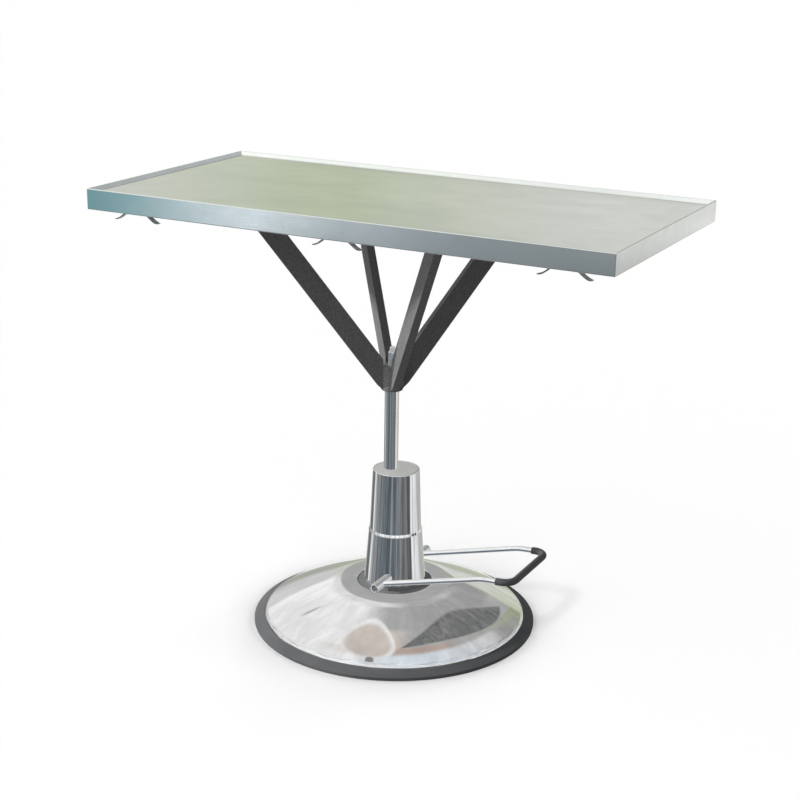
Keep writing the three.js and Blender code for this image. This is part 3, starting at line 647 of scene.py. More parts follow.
def pan_floor(points, start, around):
    """Fills the ring that starts at the given point with a grid, very slightly dished."""
    ring = list(range(start, start + around))
    z = points[start][2]
    dish = 0.8 * MM
    margin = 20 * MM
    cells_x, cells_y = 24, 12
    half_x = round(max(points[i][0] for i in ring), 6) - margin
    half_y = max(points[i][1] for i in ring) - margin
    grid = {}
    for i in range(cells_x + 1):
        for j in range(cells_y + 1):
            u, v = 2 * i / cells_x - 1, 2 * j / cells_y - 1
            sink = dish * (1 - u * u) * (1 - v * v)
            grid[i, j] = len(points)
            points.append((half_x * u, half_y * v, z - sink))
    faces = [[grid[i, j], grid[i + 1, j], grid[i + 1, j + 1], grid[i, j + 1]]
             for i in range(cells_x) for j in range(cells_y)]
    # Stitch the grid's border to the ring, side by side, going round from the +X +Y corner
    border = [grid[i, cells_y] for i in range(cells_x, -1, -1)]
    left = [grid[0, j] for j in range(cells_y, -1, -1)]
    bottom = [grid[i, 0] for i in range(cells_x + 1)]
    right = [grid[cells_x, j] for j in range(cells_y + 1)]
    per_corner = around // 4
    corners = [ring[k * per_corner:(k + 1) * per_corner] for k in range(4)]
    for side, here, ahead in ((border, corners[0], corners[1]), (left, corners[1], corners[2]),
                              (bottom, corners[2], corners[3]), (right, corners[3], corners[0])):
        faces.append([here[-1], ahead[0], *reversed(side)])
    for corner, grid_point in zip(corners, (grid[cells_x, cells_y], grid[0, cells_y],
                                            grid[0, 0], grid[cells_x, 0])):
        faces += [[corner[k], corner[k + 1], grid_point] for k in range(per_corner - 1)]
    return faces


def make_cleats():
    for node in sorted(n for n in frame["nodes"] if n.startswith("cleat_")):
        centre, box_low, box_high = middle(node), low(node), high(node)
        reach = (box_high.x - box_low.x) / 2
        width = box_high.y - box_low.y
        sheet = 3 * MM
        top = low("table_tray").z - GAP - sheet / 2
        drop = 17 * MM
        start, finish = Vector((20 * MM, top)), Vector((reach, top - drop))
        side = curve([start, (start.x + 12 * MM, start.y), (finish.x - 16 * MM, finish.y), finish],
                     24)
        line = [Vector((centre.x - p.x, centre.y, p.y)) for p in reversed(side)]
        line += [Vector((centre.x + p.x, centre.y, p.y)) for p in side]
        half_w, half_t = width / 2, sheet / 2
        section = rounded([(-half_w, -half_t), (half_w, -half_t), (half_w, half_t),
                           (-half_w, half_t)],
                          0.9 * MM, 4)
        # The ends thin and narrow over their last stretch
        ends = [min(1.0, 0.45 + (reach - abs(p.x - centre.x)) / (14 * MM)) for p in line]
        sizes = [(0.5 + end / 2, end) for end in ends]
        strip = sweep(node.replace("cleat", "cleat_strip"), line, section, sizes=sizes)
        round_edges(strip, 0.7 * MM, 3, 60)
        show(strip, "top", STRIP, [node], 40)

        under = top - half_t
        head = rounded([(0, under - 2.6 * MM), (2.6 * MM, under - 2.5 * MM),
                        (4.9 * MM, under + 0.1 * MM),
                        (0, under + 0.1 * MM)], [0, 1.4 * MM, 0.3 * MM, 0], 5)
        rivet = lathe(node.replace("cleat", "cleat_rivet"), head, 32, (centre.x, centre.y))
        show(rivet, "top", PLAIN, (), 50)


make_tray()
make_cleats()


# ---- hub, ram and nut

def make_hub():
    box_low, box_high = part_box("hub_tube")
    size = radius("hub_tube")
    bore = radius("ram_rod") + GAP
    outline = rounded([
        (bore, box_low.z), (size, box_low.z), (size, box_high.z), (bore * 0.55, box_high.z),
        (bore * 0.55, box_high.z - 14 * MM), (bore, box_high.z - 14 * MM),
    ], [0.6 * MM, 9 * MM, 1.2 * MM, 0.5 * MM, 0, 0], 8)
    hub = lathe("arm_hub", outline, ROUND, (RAM_X, 0))
    show(hub, "top", COAT, ["hub_tube"])


def make_ram():
    box_low, box_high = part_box("ram_rod")
    size = radius("ram_rod")
    shoulder = high("hub_tube").z - 15.3 * MM
    stud = 6 * MM
    pitch, depth = 1.75 * MM, 0.55 * MM
    thread = []
    z = high("hub_tube").z - 8 * MM
    while z + pitch < box_high.z - 2 * MM:
        thread += [(stud, z), (stud, z + pitch * 0.25), (stud - depth, z + pitch * 0.5),
                   (stud - depth, z + pitch * 0.75)]
        z += pitch
    outline = [(0, box_low.z), (size - 1 * MM, box_low.z), (size, box_low.z + 1 * MM),
               (size, shoulder),
               (stud, shoulder), *thread, (stud, z), (stud, box_high.z - 1.5 * MM),
               (stud - 1.5 * MM, box_high.z), (0, box_high.z)]
    ram = lathe("ram_shaft", outline, ROUND, (RAM_X, 0))
    show(ram, "top", RAM_CHROME, ["ram_rod"])


def make_nut():
    box_low, box_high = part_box("ram_nut")
    flats = high("ram_nut").x - low("ram_nut").x
    points = []
    chamfer = 1.4 * MM
    bore = 5.9 * MM
    rings = [(bore, box_low.z + 0.6 * MM), (bore + 0.8 * MM, box_low.z), (None, box_low.z),
             (1.0, box_low.z + chamfer), (1.0, box_high.z - chamfer), (None, box_high.z),
             (bore + 0.8 * MM, box_high.z), (bore, box_high.z - 0.6 * MM)]
    sides = 72
    for size, z in rings:
        for k in range(sides):
            angle = 2 * math.pi * k / sides
            within = (angle % (math.pi / 3)) - math.pi / 6
            hexagon = (flats / 2) / math.cos(within)
            r = flats / 2 * 0.99 if size is None else hexagon if size == 1.0 else size
            points.append((RAM_X + r * math.cos(angle), r * math.sin(angle), z))
    nut = make_object("ram_lock_nut", points, ring_faces(len(rings), sides))
    face_outwards(nut)
    show(nut, "top", NUT, ["ram_nut"], 20)


make_hub()
make_ram()
make_nut()


# ---- pump covers and foot

def make_covers():
    lower_low, lower_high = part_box("lower_cover")
    wide = radius("lower_cover")
    band_low, band_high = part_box("seam_band")
    band = radius("seam_band")
    sheet = 1.5 * MM
    narrow = band - GAP
    hem = lower_low.z - 4.5 * MM
    outline = rounded([(wide - 1.1 * MM, hem), (wide, hem), (narrow, lower_high.z),
                       (narrow - sheet, lower_high.z)], [0.4 * MM, 0.5 * MM, 0.5 * MM, 0.3 * MM], 4)
    lower = lathe("pump_cover_lower", outline, FINE)
    for side in (-1, 1):
        # The boss runs up against a pocket in the sheet, and only the shaft goes through
        start = side * (abs(high("pedal_boss_front").y) - GAP)
        drill(lower, 10.7 * MM, start, side * 0.09, across=True)
        drill(lower, 7.4 * MM, side * 0.05, side * 0.09, across=True)
    show(lower, "root", COVER_CHROME, ["lower_cover"], 30)

    inner = radius("upper_cover") + GAP
    outline = rounded([(inner, band_low.z), (band, band_low.z), (band, band_low.z + 0.7 * MM),
                       (band - 1.4 * MM, band_high.z - 0.3 * MM), (inner, band_high.z)],
                      [0.2 * MM, 0.4 * MM, 0.8 * MM, 0.5 * MM, 0.2 * MM], 5)
    ring = lathe("seam_ring", outline, FINE)
    show(ring, "root", COVER_CHROME, ["seam_band"], 60)

    # The band's two small catches
    for bearing in (68, 75):
        turn = math.radians(bearing - 90)
        catch = make_box("band_catch_%d" % bearing, (band + 0.2 * MM, 0, middle("seam_band").z),
                         (1.3 * MM, 2.2 * MM, 2.6 * MM))
        catch.data.transform(Matrix.Rotation(turn, 4, "Z"))
        round_edges(catch, 0.5 * MM, 2, 60)
        show(catch, "root", CAST, (), 40)

    upper_low, upper_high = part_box("upper_cover")
    base = radius("upper_cover")
    top = base - 6.2 * MM
    cap = radius("top_cap") + GAP
    ledge = low("top_cap").z - GAP
    outline = rounded([
        (base - sheet, upper_low.z), (base, upper_low.z), (top, upper_high.z), (cap, upper_high.z),
        (cap, ledge), (cap - 4 * MM, ledge), (cap - 4 * MM, ledge - sheet),
        (top - sheet, ledge - sheet),
    ], [0.5 * MM, 0.5 * MM, 4.5 * MM, 0.8 * MM, 0, 0.3 * MM, 0.3 * MM, 0.8 * MM], 10)
    upper = lathe("pump_cover_upper", outline, FINE)
    show(upper, "root", COVER_CHROME, ["upper_cover"], 30)


def make_cap():
    box_low, box_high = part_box("top_cap")
    size = radius("top_cap")
    outline = rounded([(0, box_low.z), (size, box_low.z), (size, box_high.z), (0, box_high.z)],
                      [0, 0.3 * MM, 0.6 * MM, 0], 4)
    cap = lathe("cover_cap", outline, FINE)
    drill(cap, radius("ram_rod") + 1 * MM, box_low.z - 0.01, box_high.z + 0.01, (RAM_X, 0),
          facets=ROUND)
    round_edges(cap, 0.4 * MM, 2, 50)
    show(cap, "root", CAP, ["top_cap"], 30)

    wiper_low, wiper_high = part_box("wiper_ring")
    inner = radius("ram_rod") + 0.1 * MM
    outer = radius("wiper_ring")
    outline = rounded([(inner + 0.2 * MM, wiper_low.z), (outer, wiper_low.z),
                       (outer, wiper_high.z - 6 * MM),
                       (outer - 1.7 * MM, wiper_high.z), (inner, wiper_high.z)], 0.4 * MM, 4)
    wiper = lathe("wiper_lip", outline, ROUND, (RAM_X, 0))
    show(wiper, "root", SEAL, ["wiper_ring"])


def make_foot():
    box_low, box_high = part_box("pump_foot")
    sides = 12
    half_side = math.pi / sides
    flange = radius("pump_foot") / math.cos(half_side) - 0.9 * MM
    flange_top = box_low.z + 15.4 * MM
    body = 60 * MM
    cup = 52.5 * MM
    floor = box_high.z - 42 * MM
    rim = 1.2 * MM
    outline = [(cup, box_low.z), (flange, box_low.z), (flange, flange_top - rim),
               (flange - rim, flange_top), (cup, flange_top)]
    skirt = lathe("pump_flange", outline, sides, start=half_side)
    round_edges(skirt, 0.8 * MM, 3, 20)
    show(skirt, "root", CAST, (), 24)

    outline = rounded([
        (0, box_low.z), (cup - 1 * MM, box_low.z), (cup - 1 * MM, flange_top + 0.1 * MM),
        (body, flange_top + 0.1 * MM), (body, box_high.z), (cup, box_high.z), (cup, floor),
        (0, floor),
    ], [0, 1 * MM, 0, 1 * MM, 1.5 * MM, 1.5 * MM, 4 * MM, 0], 6)
    foot = lathe("pump_casting", outline, ROUND)
    drill(foot, radius("shaft_bush_front") + GAP, -0.08, 0.08, across=True)
    clear_pump(foot)
    show(foot, "root", CAST, ["pump_foot"], 35)


def make_spring():
    """The plunger's return spring, coiled from the bottom to the top of the CAD spring's box."""
    box_low, box_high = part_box("plunger_spring")
    centre = middle("plunger").x
    wire = 1 * MM
    size = (box_high.x - box_low.x) / 2 - wire
    coils, steps = 2.2, 132
    path = []
    for i in range(steps + 1):
        angle = 2 * math.pi * coils * i / steps
        height = box_low.z + wire + (box_high.z - box_low.z - 2 * wire) * i / steps
        path.append(Vector((centre + size * math.cos(angle), size * math.sin(angle), height)))
    spring = sweep("return_spring", path, circle(wire, 12))
    smooth(spring, 60)
    spring.data.materials.append(PLAIN)
    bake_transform(spring)
    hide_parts("plunger_spring")


make_covers()
make_cap()
make_foot()
make_spring()


# ---- base

def dome_outline():
    """The dome's outer surface, from the hole's edge out to the rim, as (radius, height) points."""
    rim = radius("base_dome")
    top = high("base_dome").z
    edge = low("base_dome").z
    hole = 86.3 * MM
    flat = 118 * MM
    slope, shoulder = (165 * MM, 82 * MM), (284 * MM, 28.5 * MM)
    points = [Vector((hole, top)), Vector((hole + 12 * MM, top)), Vector((flat, top))]
    points += curve([(flat, top), (130 * MM, top), (147 * MM, 89.1 * MM), slope], 16)[1:]
    points += curve([slope, (204.7 * MM, 66.3 * MM), (244.3 * MM, 49.6 * MM), shoulder], 24)[1:]
    points += curve([shoulder, (291 * MM, 24.8 * MM), (rim, 22.5 * MM), (rim, 17 * MM)], 20)[1:]
    points.append(Vector((rim, edge)))
    return points


def make_dome():
    outer = dome_outline()
    sheet = 2.3 * MM
    inner = []
    for i, point in enumerate(outer):
        along = (outer[min(i + 1, len(outer) - 1)] - outer[max(i - 1, 0)]).normalized()
        inner.append(point + Vector((along.y, -along.x)) * sheet)
    lip = [Vector((outer[0].x + 0.5 * MM, outer[0].y - 0.15 * MM)),
           Vector((outer[0].x, outer[0].y - 0.7 * MM))]
    outline = [*outer[1:], *reversed(inner[1:]), Vector((outer[0].x, outer[0].y - sheet)), lip[1],
               lip[0]]
    dome = lathe("dome_shell", outline, FINEST)
    show(dome, "root", DOME, ["base_dome"], 40)


JOINT_BEARING = math.radians(10)      # where the bumper's two ends meet, from +X


def make_bumper():
    size = radius("bumper_ring")
    rim = radius("base_dome")
    top = high("bumper_ring").z
    seat = low("base_dome").z - GAP
    wall = rim - 2.6 * MM
    lip = size - 39 * MM
    plate = low("base_plate").z - GAP
    outline = rounded([
        (lip, 0), (size - 0.6 * MM, 0), (size, 2 * MM), (size, 7.5 * MM), (rim + 2.6 * MM, top),
        (rim + GAP, top), (rim + GAP, seat), (wall, seat), (wall, plate), (lip, plate),
    ], [1 * MM, 0.8 * MM, 1 * MM, 1.2 * MM, 1.2 * MM, 0.5 * MM, 0, 0, 0, 0.5 * MM], 5)
    ring = lathe("bumper", outline, FINEST)
    groove = make_box("joint", (size - 9 * MM, 0, top - 1 * MM), (24 * MM, 0.9 * MM, 9.6 * MM))
    groove.data.transform(Matrix.Rotation(JOINT_BEARING, 4, "Z"))
    cut_away(ring, groove)
    show(ring, "root", BUMPER, ["bumper_ring"], 35)


def make_plates():
    box_low, box_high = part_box("mounting_plate")
    size = radius("mounting_plate")
    outline = rounded([(0, box_low.z), (size, box_low.z), (size, box_high.z), (0, box_high.z)],
                      [0, 1 * MM, 1 * MM, 0], 3)
    plate = lathe("mounting_disc", outline, ROUND)
    clear_pump(plate)
    show(plate, "root", PLATE, ["mounting_plate"], 35)


make_dome()
make_bumper()
make_plates()


# ---- pedal

def bar_path():
    """The pedal bar's centreline, from the front boss round the far end to the rear boss."""
    bar_high = high("pedal_bar")
    side = bar_high.y - 6 * MM
    end_x = bar_high.x - 6 * MM
    end_z = bar_high.z - 6 * MM
    bend = Vector((265 * MM, -side, 190 * MM))
    slope = (bend.z - SHAFT.z) / (bend.x - SHAFT.x)
    start = Vector((SHAFT.x + 9.5 * MM, -side, SHAFT.z + slope * 9.5 * MM))
    before = Vector((bend.x - 16 * MM, -side, bend.z - 16 * MM * slope))
    after = Vector((bend.x + 16 * MM, -side, bend.z + 0.6 * MM))
    corner = 26 * MM
    corner_start = Vector((end_x - corner, -side, end_z - 0.6 * MM))
    corner_end = Vector((end_x, -side + corner, end_z))
    peak = Vector((end_x, -side, end_z))
    half = [start.lerp(before, k / 12) for k in range(12)]
    half += [before * (1 - t) ** 2 + bend * 2 * t * (1 - t) + after * t * t
             for t in (k / 8 for k in range(8))]
    half += [after.lerp(corner_start, k / 6) for k in range(6)]
    # A round corner as a cubic with the circle's own handles
    handle = 0.5523
    a, b = corner_start.lerp(peak, handle), corner_end.lerp(peak, handle)
    half += curve([corner_start, a, b, corner_end], 13)
    return [*half, *(Vector((p.x, -p.y, p.z)) for p in reversed(half))]


def make_pedal():
    path = bar_path()
    bar = sweep("pedal_rod", path, circle(6 * MM, 40))
    drill(bar, 10.4 * MM, -0.14, 0.14, across=True)
    show(bar, "pedal", PEDAL_CHROME, ["pedal_bar"], 50)

    grip_start = low("pedal_grip").x
    covered = [p for p in path if p.x > grip_start + 0.5 * MM]
    first = covered[0]
    start = Vector((grip_start, first.y, first.z))
    finish = Vector((grip_start, -first.y, first.z))
    grip = sweep("pedal_sleeve", [start, *covered, finish], circle(8 * MM, 40))
    round_edges(grip, 1.3 * MM, 4, 60)
    show(grip, "pedal", GRIP, ["pedal_grip"], 40)

    for name, sign in ENDS:
        node = "pedal_boss_" + name
        box_low, box_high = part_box(node)
        size = (box_high.z - box_low.z) / 2
        inner = 7.15 * MM
        outer_end, inner_end = (box_low.y, box_high.y) if sign < 0 else (box_high.y, box_low.y)
        recess = outer_end - sign * 4 * MM
        outline = rounded([(inner, inner_end), (size, inner_end), (size, outer_end),
                           (inner + 1.2 * MM, outer_end), (inner, recess)],
                          [0, 0.9 * MM, 1.0 * MM, 0.4 * MM, 0], 5)
        boss = turn_to_cross_shaft(lathe("pedal_collar_" + name, outline, SMALL * 2))
        show(boss, "pedal", PEDAL_CHROME, [node], 35)

        seat = outer_end - sign * 4.6 * MM
        face = outer_end - sign * 2.6 * MM
        outline = rounded([(0, seat), (6.9 * MM, seat), (6.9 * MM, face), (2.2 * MM, face),
                           (1.8 * MM, face + sign * 0.7 * MM), (0, face + sign * 0.8 * MM)],
                          [0, 0.2 * MM, 0.6 * MM, 0.4 * MM, 0.4 * MM, 0], 4)
        plug = turn_to_cross_shaft(lathe("collar_plug_" + name, outline, SMALL))
        show(plug, "pedal", PLATE, (), 35)

    shaft_low, shaft_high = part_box("pedal_shaft")
    size = (shaft_high.z - shaft_low.z) / 2
    half = shaft_high.y - 1.4 * MM
    outline = rounded([(0, -half + 1.6 * MM), (1.8 * MM, -half), (size, -half), (size, half),
                       (1.8 * MM, half), (0, half - 1.6 * MM)],
                      [0, 0.3 * MM, 1 * MM, 1 * MM, 0.3 * MM, 0], 4)
    shaft = turn_to_cross_shaft(lathe("pedal_axle", outline, SMALL))
    show(shaft, "pedal", PLAIN, ["pedal_shaft"], 35)

    for name, sign in ENDS:
        place = middle("pedal_boss_" + name)
        boss_size = (high("pedal_boss_" + name).z - low("pedal_boss_" + name).z) / 2
        centre_y = place.y - sign * 16 * MM
        head = rounded([(0, -1.2 * MM), (2.9 * MM, -1.2 * MM), (2.9 * MM, 0.7 * MM),
                        (1.7 * MM, 0.7 * MM),
                        (1.5 * MM, -0.7 * MM), (0, -0.7 * MM)], [0, 0, 0.5 * MM, 0.2 * MM, 0, 0], 3)
        screw = lathe("collar_screw_" + name, head, 24)
        tilt = Matrix.Rotation(math.radians(-35), 4, "Y")
        screw.data.transform(Matrix.Translation((SHAFT.x, centre_y, SHAFT.z)) @ tilt
                             @ Matrix.Translation((0, 0, boss_size)))
        show(screw, "pedal", PLAIN, (), 30)


make_pedal()


# ---- CAD nodes that stay as they are

def keep(node, look, width, segments):
    """A CAD node whose shape is right gets its material, and its edges a small round."""
    piece = frame["nodes"][node]
    piece.data.materials.clear()
    piece.data.materials.append(look)
    weld = piece.modifiers.new("weld", "WELD")
    weld.merge_threshold = 0.02 * MM
    if width:
        bevel(piece, width, segments, 32)
    weigh_normals(piece)


KEPT = (
    (("arm_front_left", "arm_front_right", "arm_rear_left", "arm_rear_right"), COAT, 1.3, 3),
    (("rail_front", "rail_rear"), COAT, 0.8, 2),
    (("core_board",), LAMINATE, 0.6, 2),
    ([f"{kind}_{i}" for kind in ("rail_screw", "foot_bolt") for i in range(1, 5)], PLAIN, 0.5, 2),
    (("base_plate", "support_tube"), PLATE, 0.5, 2),
    (("oil_tank", "tank_head", "release_valve"), CAST, 0.6, 2),
    (("ram_cylinder", "plunger_barrel", "plunger", "crank_lever", "piston_head"), PLAIN, 0, 0),
    (("guide_bush", "shaft_bush_front", "shaft_bush_rear", "thrust_washer"), BRONZE, 0, 0),
    (("rod_seal", "piston_seal"), SEAL, 0, 0),
)
for nodes, look, width, segments in KEPT:
    for node in nodes:
        keep(node, look, width * MM, segments)


# ---- camera

AZIMUTH = math.radians(27.5242)
ELEVATION = math.radians(17.78)
ROLL = math.radians(0.9107)
DISTANCE = 3.5949
TARGET_SIDE = 0.00564
TARGET_HEIGHT = 0.52508
FOCAL_OVER_SENSOR = 2.03005


def add_camera():
    back = Vector((math.sin(AZIMUTH) * math.cos(ELEVATION),
                   -math.cos(AZIMUTH) * math.cos(ELEVATION),
                   math.sin(ELEVATION)))
    target = Vector((TARGET_SIDE * math.cos(AZIMUTH), TARGET_SIDE * math.sin(AZIMUTH),
                     TARGET_HEIGHT))
    right = (-back).cross(Vector((0, 0, 1))).normalized()
    up = right.cross(-back)
    side = right * math.cos(ROLL) + up * math.sin(ROLL)
    top = up * math.cos(ROLL) - right * math.sin(ROLL)
    data = bpy.data.cameras.new("camera")
    data.sensor_width = 36.0
    data.lens = 36.0 * FOCAL_OVER_SENSOR
    camera = bpy.data.objects.new("camera", data)
    bpy.context.scene.collection.objects.link(camera)
    turn = Matrix((side, top, back)).transposed().to_4x4()
    camera.matrix_world = Matrix.Translation(target + back * DISTANCE) @ turn
    bpy.context.scene.camera = camera


add_camera()


# ---- studio

def collected(name, pieces):
    group = bpy.data.collections.new(name)
    for piece in pieces:
        group.objects.link(piece)
    return group


def linked(light, name, pieces, state, blockers=()):
    """Limits a light to some pieces, or keeps it off them, and says which pieces shade it."""
    group = collected(name, pieces)
    light.light_linking.receiver_collection = group
    for entry in group.collection_objects:
        entry.light_linking.link_state = state
    if blockers:
        light.light_linking.blocker_collection = collected(name + "_shade", blockers)


def add_floor():
    size = 30.0
    floor = make_object("floor", [(-size, -size, 0), (size, -size, 0), (size, size, 0),
                                  (-size, size, 0)],
                        [[0, 1, 2, 3]])
    floor.location.z = -0.0005
    look = Look("floor_paper", 0.0, 0.9)
    look.feed(look.shader, {"Base Color": (0.45, 0.45, 0.45, 1), "Specular IOR Level": 0.0})
    # The paper cannot be seen from below, so a low camera sees the table's underside
    both = look.new("MixShader", {0: look.new("NewGeometry").outputs["Backfacing"],
                                  1: look.shader.outputs[0],
                                  2: look.new("BsdfTransparent").outputs[0]})
    output = next(n for n in look.tree.nodes if n.type == "OUTPUT_MATERIAL")
    look.link(both.outputs[0], output.inputs[0])
    floor.data.materials.append(look.material)
    floor.visible_glossy = False
    floor.visible_diffuse = False
    return floor


def towards(bearing, height):
    """A direction from its bearing round from the front and its height, both in degrees."""
    a, e = math.radians(bearing), math.radians(height)
    return Vector((math.sin(a) * math.cos(e), -math.cos(a) * math.cos(e), math.sin(e)))


def add_lamp(name, kind, bearing, height, power):
    """A lamp that shows in no metal: the world holds what metal mirrors."""
    data = bpy.data.lights.new(name, kind)
    data.energy = power
    lamp = bpy.data.objects.new(name, data)
    bpy.context.scene.collection.objects.link(lamp)
    lamp.rotation_mode = "QUATERNION"
    lamp.rotation_quaternion = (-towards(bearing, height)).to_track_quat("-Z", "Y")
    lamp.visible_glossy = False
    return lamp


def add_soft_box(name, bearing, height, distance, size, power, colour):
    """A lamp for the table only."""
    lamp = add_lamp(name, "AREA", bearing, height, power)
    lamp.data.shape = "RECTANGLE"
    lamp.data.size, lamp.data.size_y = size
    lamp.data.color = colour
    lamp.location = Vector((0, 0, 0.5)) + towards(bearing, height) * distance
    lamp.visible_camera = False
    linked(lamp, name + "_off", [studio_floor], "EXCLUDE")


def add_sun(name, bearing, height, power, spread, floor, blockers):
    """A lamp for the floor only, shaded by some pieces. Its power is what reaches the floor."""
    lamp = add_lamp(name, "SUN", bearing, height, power / math.sin(math.radians(height)))
    lamp.data.angle = math.radians(spread)
    linked(lamp, name + "_on", [floor], "INCLUDE", blockers)


def pieces_named(*names):
    return [piece for piece in bpy.context.scene.objects if piece.name in names]


# The floor's own lights: a ring of low ones, which the base shades, and one that the pedal shades
FLOOR_LIGHT = 6.2
RING_SHARE = 0.78
RING_COUNT = 8


def light_floor(floor):
    base = pieces_named("dome_shell", "bumper")
    pedal = pieces_named("pedal_rod", "pedal_sleeve")
    for i in range(RING_COUNT):
        bearing = 360 * i / RING_COUNT
        height = 18 - 3 * math.cos(math.radians(2 * bearing))
        add_sun("floor_ring_%d" % i, bearing, height, FLOOR_LIGHT * RING_SHARE / RING_COUNT, 14,
                floor, base)
    add_sun("floor_front", 2.6, 39, FLOOR_LIGHT * (1 - RING_SHARE), 8, floor, pedal)


# The room that bright metal reflects, in a small set of plain tones. Rows of soft panels by
# bearing, in degrees round from the front and positive to the right: below the horizon, just
# below it, and just above it.
WHITE, CHALK, PEARL, ASH, FOG = "f0f0f0", "e0e0e0", "d0d0d0", "c0c0c0", "b0b0b0"
SILVER, NICKEL, LEAD, SHADE, INK = "a0a0a0", "909090", "808080", "707070", "586060"
MIST, SKY, SLATE, TEAL, LIME = "c8d0d8", "a0a8b0", "687078", "608890", "b0b8a0"
SAGE, MOSS, ROSE, PETAL = "a0a890", "909880", "a89890", "c0b8b0"
ROW_LOW = [
    (-180, LIME), (-150, CHALK), (-120, SHADE), (-100, INK), (-90, CHALK), (-70, NICKEL),
    (-30, SLATE), (5, INK), (10, SKY), (15, SLATE), (75, LEAD), (85, INK), (95, INK),
    (100, CHALK), (165, FOG), (180, LIME),
]
ROW_SKIRT = [
    (-180, LIME), (-120, NICKEL), (-90, FOG), (-60, NICKEL), (-45, TEAL), (-36, TEAL), (-35, MIST),
    (-32, MIST), (-29, SKY), (20, LEAD), (70, NICKEL), (105, CHALK), (175, CHALK), (180, FOG),
]
ROW_PAN = [
    (-180, LIME), (-160, PEARL), (-150, LIME), (-140, ASH), (-75, WHITE), (75, WHITE), (100, ASH),
    (150, ASH), (180, LIME),
]
# Higher up the panels lie in rings round a point behind the table, by bearing about that point,
# each given with how far out it starts and has fully set in
RING_CENTRE = (-0.27, 0.57)
RING_SIZES = [(-180, 0.35), (-120, 0.39), (-65, 0.43), (-20, 0.35), (15, 0.30), (55, 0.31),
              (85, 0.38), (120, 0.53), (150, 0.43), (180, 0.35)]
RINGS = [
    (0.35, 0.55, [(-180, PEARL), (-75, PEARL), (-50, SILVER), (0, FOG), (50, NICKEL), (90, SAGE),
                  (140, SAGE), (180, PEARL)]),
    (0.70, 0.85, [(-95, CHALK), (-70, SILVER), (65, NICKEL), (130, MOSS), (180, CHALK)]),
    (0.98, 1.03, [(-95, CHALK), (-65, PETAL), (-55, SILVER), (45, SILVER), (80, LIME),
                  (150, SAGE), (180, CHALK)]),
    (1.15, 1.17, [(-105, CHALK), (-60, ROSE), (-40, ROSE), (-30, SILVER), (50, MOSS),
                  (125, CHALK), (145, SAGE)]),
    (1.20, 1.25, [(-160, PEARL), (-90, CHALK), (-60, MIST), (-10, ASH), (5, NICKEL), (75, MOSS),
                  (150, SAGE)]),
    (1.60, 1.90, [(-165, SAGE), (-100, WHITE), (-35, MIST), (40, SILVER)]),
]
RING_CORE = SILVER
# Ovals seen from below, by middle and half size: the lamp, the blush with its bright edge, and
# the two whose difference is the dark leaf
LAMP = (-0.130, 0.036), (0.024, 0.017)
BLUSH = (-0.175, 0.105), (0.12, 0.068)
BLUSH_EDGE = (-0.172, 0.108), (0.127, 0.075)
STREAK = (-0.515, 0.297), (0.034, 0.014)
LEAF = (-0.336, 0.463), (0.451, 0.446)
LEAF_CUT = (-0.735, 0.475), (0.780, 0.780)
REFLECTED = 1.2         # makes up for the metals' own tint
AMBIENT_FROM = (-32, -4)
AMBIENT_LOW, AMBIENT_HIGH = 0.065, 0.95


def bearing_stops(pairs):
    return [((degrees + 180) / 360, value) for degrees, value in pairs]


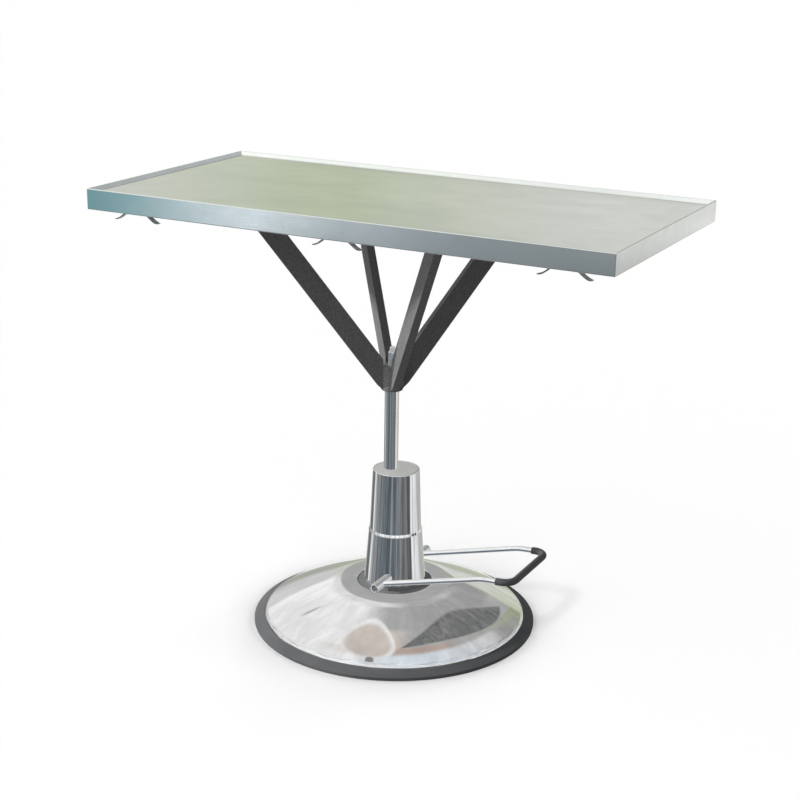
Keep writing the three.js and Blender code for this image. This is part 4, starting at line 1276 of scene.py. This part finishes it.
def add_world():
    world = bpy.data.worlds.new("studio")
    bpy.context.scene.world = world
    world.use_nodes = True
    sky = Nodes(world.node_tree)
    sky.place = sky.new("TexCoord").outputs["Generated"]
    x, y, z = sky.parts()

    def as_turn(angle):
        return sky.maths("ADD", sky.maths("DIVIDE", angle, 2 * math.pi), 0.5)

    bearing = sky.maths("ARCTAN2", x, sky.maths("MULTIPLY", y, -1.0))
    turn = as_turn(bearing)
    rise = sky.maths("MULTIPLY", sky.maths("ARCSINE", z), 180 / math.pi)
    rows = sky.mix(sky.step(rise, -12.9, -12.5), sky.ramp(turn, bearing_stops(ROW_LOW)),
                   sky.ramp(turn, bearing_stops(ROW_SKIRT)))
    rows = sky.mix(sky.step(rise, -6, 3), rows, sky.ramp(turn, bearing_stops(ROW_PAN)))

    away = sky.maths("DIVIDE", sky.maths("SUBTRACT", 90.0, rise), 90.0)
    across = sky.maths("SUBTRACT", sky.maths("MULTIPLY", away, sky.maths("SINE", bearing)),
                       RING_CENTRE[0])
    behind = sky.maths("SUBTRACT", sky.maths("MULTIPLY", away, sky.maths(
        "MULTIPLY", sky.maths("COSINE", bearing), -1.0)), RING_CENTRE[1])
    turn = as_turn(sky.maths("ARCTAN2", behind, across))
    reach = sky.maths("POWER", sky.squares(across, behind), 0.5)
    sizes = [(degrees, [size, size, size, 1]) for degrees, size in RING_SIZES]
    out = sky.maths("DIVIDE", reach, sky.ramp(turn, bearing_stops(sizes), "CARDINAL"))
    rings = linear(RING_CORE)
    for start, finish, stops in RINGS:
        rings = sky.mix(sky.step(out, start, finish), rings, sky.ramp(turn, bearing_stops(stops)))

    def oval(middle, reach, softness):
        """A patch of the ceiling: 0 outside it, 1 well inside."""
        aside = sky.maths("DIVIDE", sky.maths("SUBTRACT", across, middle[0] - RING_CENTRE[0]),
                          reach[0])
        ahead = sky.maths("DIVIDE", sky.maths("SUBTRACT", behind, middle[1] - RING_CENTRE[1]),
                          reach[1])
        return sky.step(sky.squares(aside, ahead), 1.0, 1.0 - softness)

    streaks = sky.noise((16, 16, 16), 4, 0.7, distortion=1.0)
    dark = sky.ramp(streaks, [(0.35, INK), (0.5, SHADE), (0.65, LEAD)])
    leaf = sky.maths("MULTIPLY", oval(*LEAF, 0.03),
                     sky.maths("SUBTRACT", 1.0, oval(*LEAF_CUT, 0.02)))
    rings = sky.mix(oval(*BLUSH_EDGE, 0.3), rings, CHALK)
    rings = sky.mix(oval(*BLUSH, 0.45), rings, PETAL)
    rings = sky.mix(oval(*STREAK, 1.0), rings, FOG)
    rings = sky.mix(leaf, rings, dark)
    rings = sky.mix(oval(*LAMP, 0.5), rings, LEAD)
    seen_in_metal = sky.mix(sky.step(rise, 12.5, 15.5), rows, rings)
    # Slight clutter in the room: wisps anywhere, and fine upright lines below the horizon
    wisps = sky.noise((5, 5, 9), 5, 0.65, distortion=1.2)
    uprights = sky.noise((15, 1, 1), 3, 0.8, place=sky.joined(bearing, 0.0, 0.0))
    far = sky.step(out, 1.25, 1.5)
    wisps = sky.mix(far, sky.spread(wisps, 0.90, 1.10, 0.35, 0.65),
                    sky.spread(wisps, 0.6, 1.25, 0.40, 0.60))
    below = sky.mix(sky.step(rise, -12.9, -12.5), sky.spread(uprights, 0.72, 1.25, 0.35, 0.65),
                    (1, 1, 1, 1))
    clutter = sky.maths("MULTIPLY", wisps, below)
    seen_in_metal = sky.scaled(seen_in_metal, clutter)

    way = towards(*AMBIENT_FROM)
    lean = sky.maths("ADD", sky.maths("ADD", sky.maths("MULTIPLY", x, way.x),
                                      sky.maths("MULTIPLY", y, way.y)),
                     sky.maths("MULTIPLY", z, way.z))
    soft = sky.maths("ADD", sky.maths("MULTIPLY", sky.maths("MAXIMUM", lean, 0.0), AMBIENT_HIGH),
                     AMBIENT_LOW)
    path = sky.new("LightPath")
    bright = sky.scaled(seen_in_metal, REFLECTED)
    every = sky.mix(path.outputs["Is Glossy Ray"], sky.joined(soft, soft, soft), bright)
    every = sky.mix(path.outputs["Is Camera Ray"], every, (1, 1, 1, 1))
    shine = sky.new("Background", {"Color": every})
    sky.new("OutputWorld", {0: shine.outputs[0]})


# The metal shows the room only: the world's panels already hold what it should mirror
for piece in bpy.context.scene.objects:
    if piece.type == "MESH":
        piece.visible_glossy = False
        piece.visible_shadow = piece.name != "ram_shaft"
studio_floor = add_floor()
add_world()
light_floor(studio_floor)
add_soft_box("key", -64, 24.5, 3.5, (0.15, 0.15), 165, (1.0, 0.995, 0.985))
add_soft_box("fill", -34, 40, 3.5, (1.6, 1.2), 34, (0.98, 0.99, 1.0))
bpy.context.scene.view_settings.view_transform = "Standard"
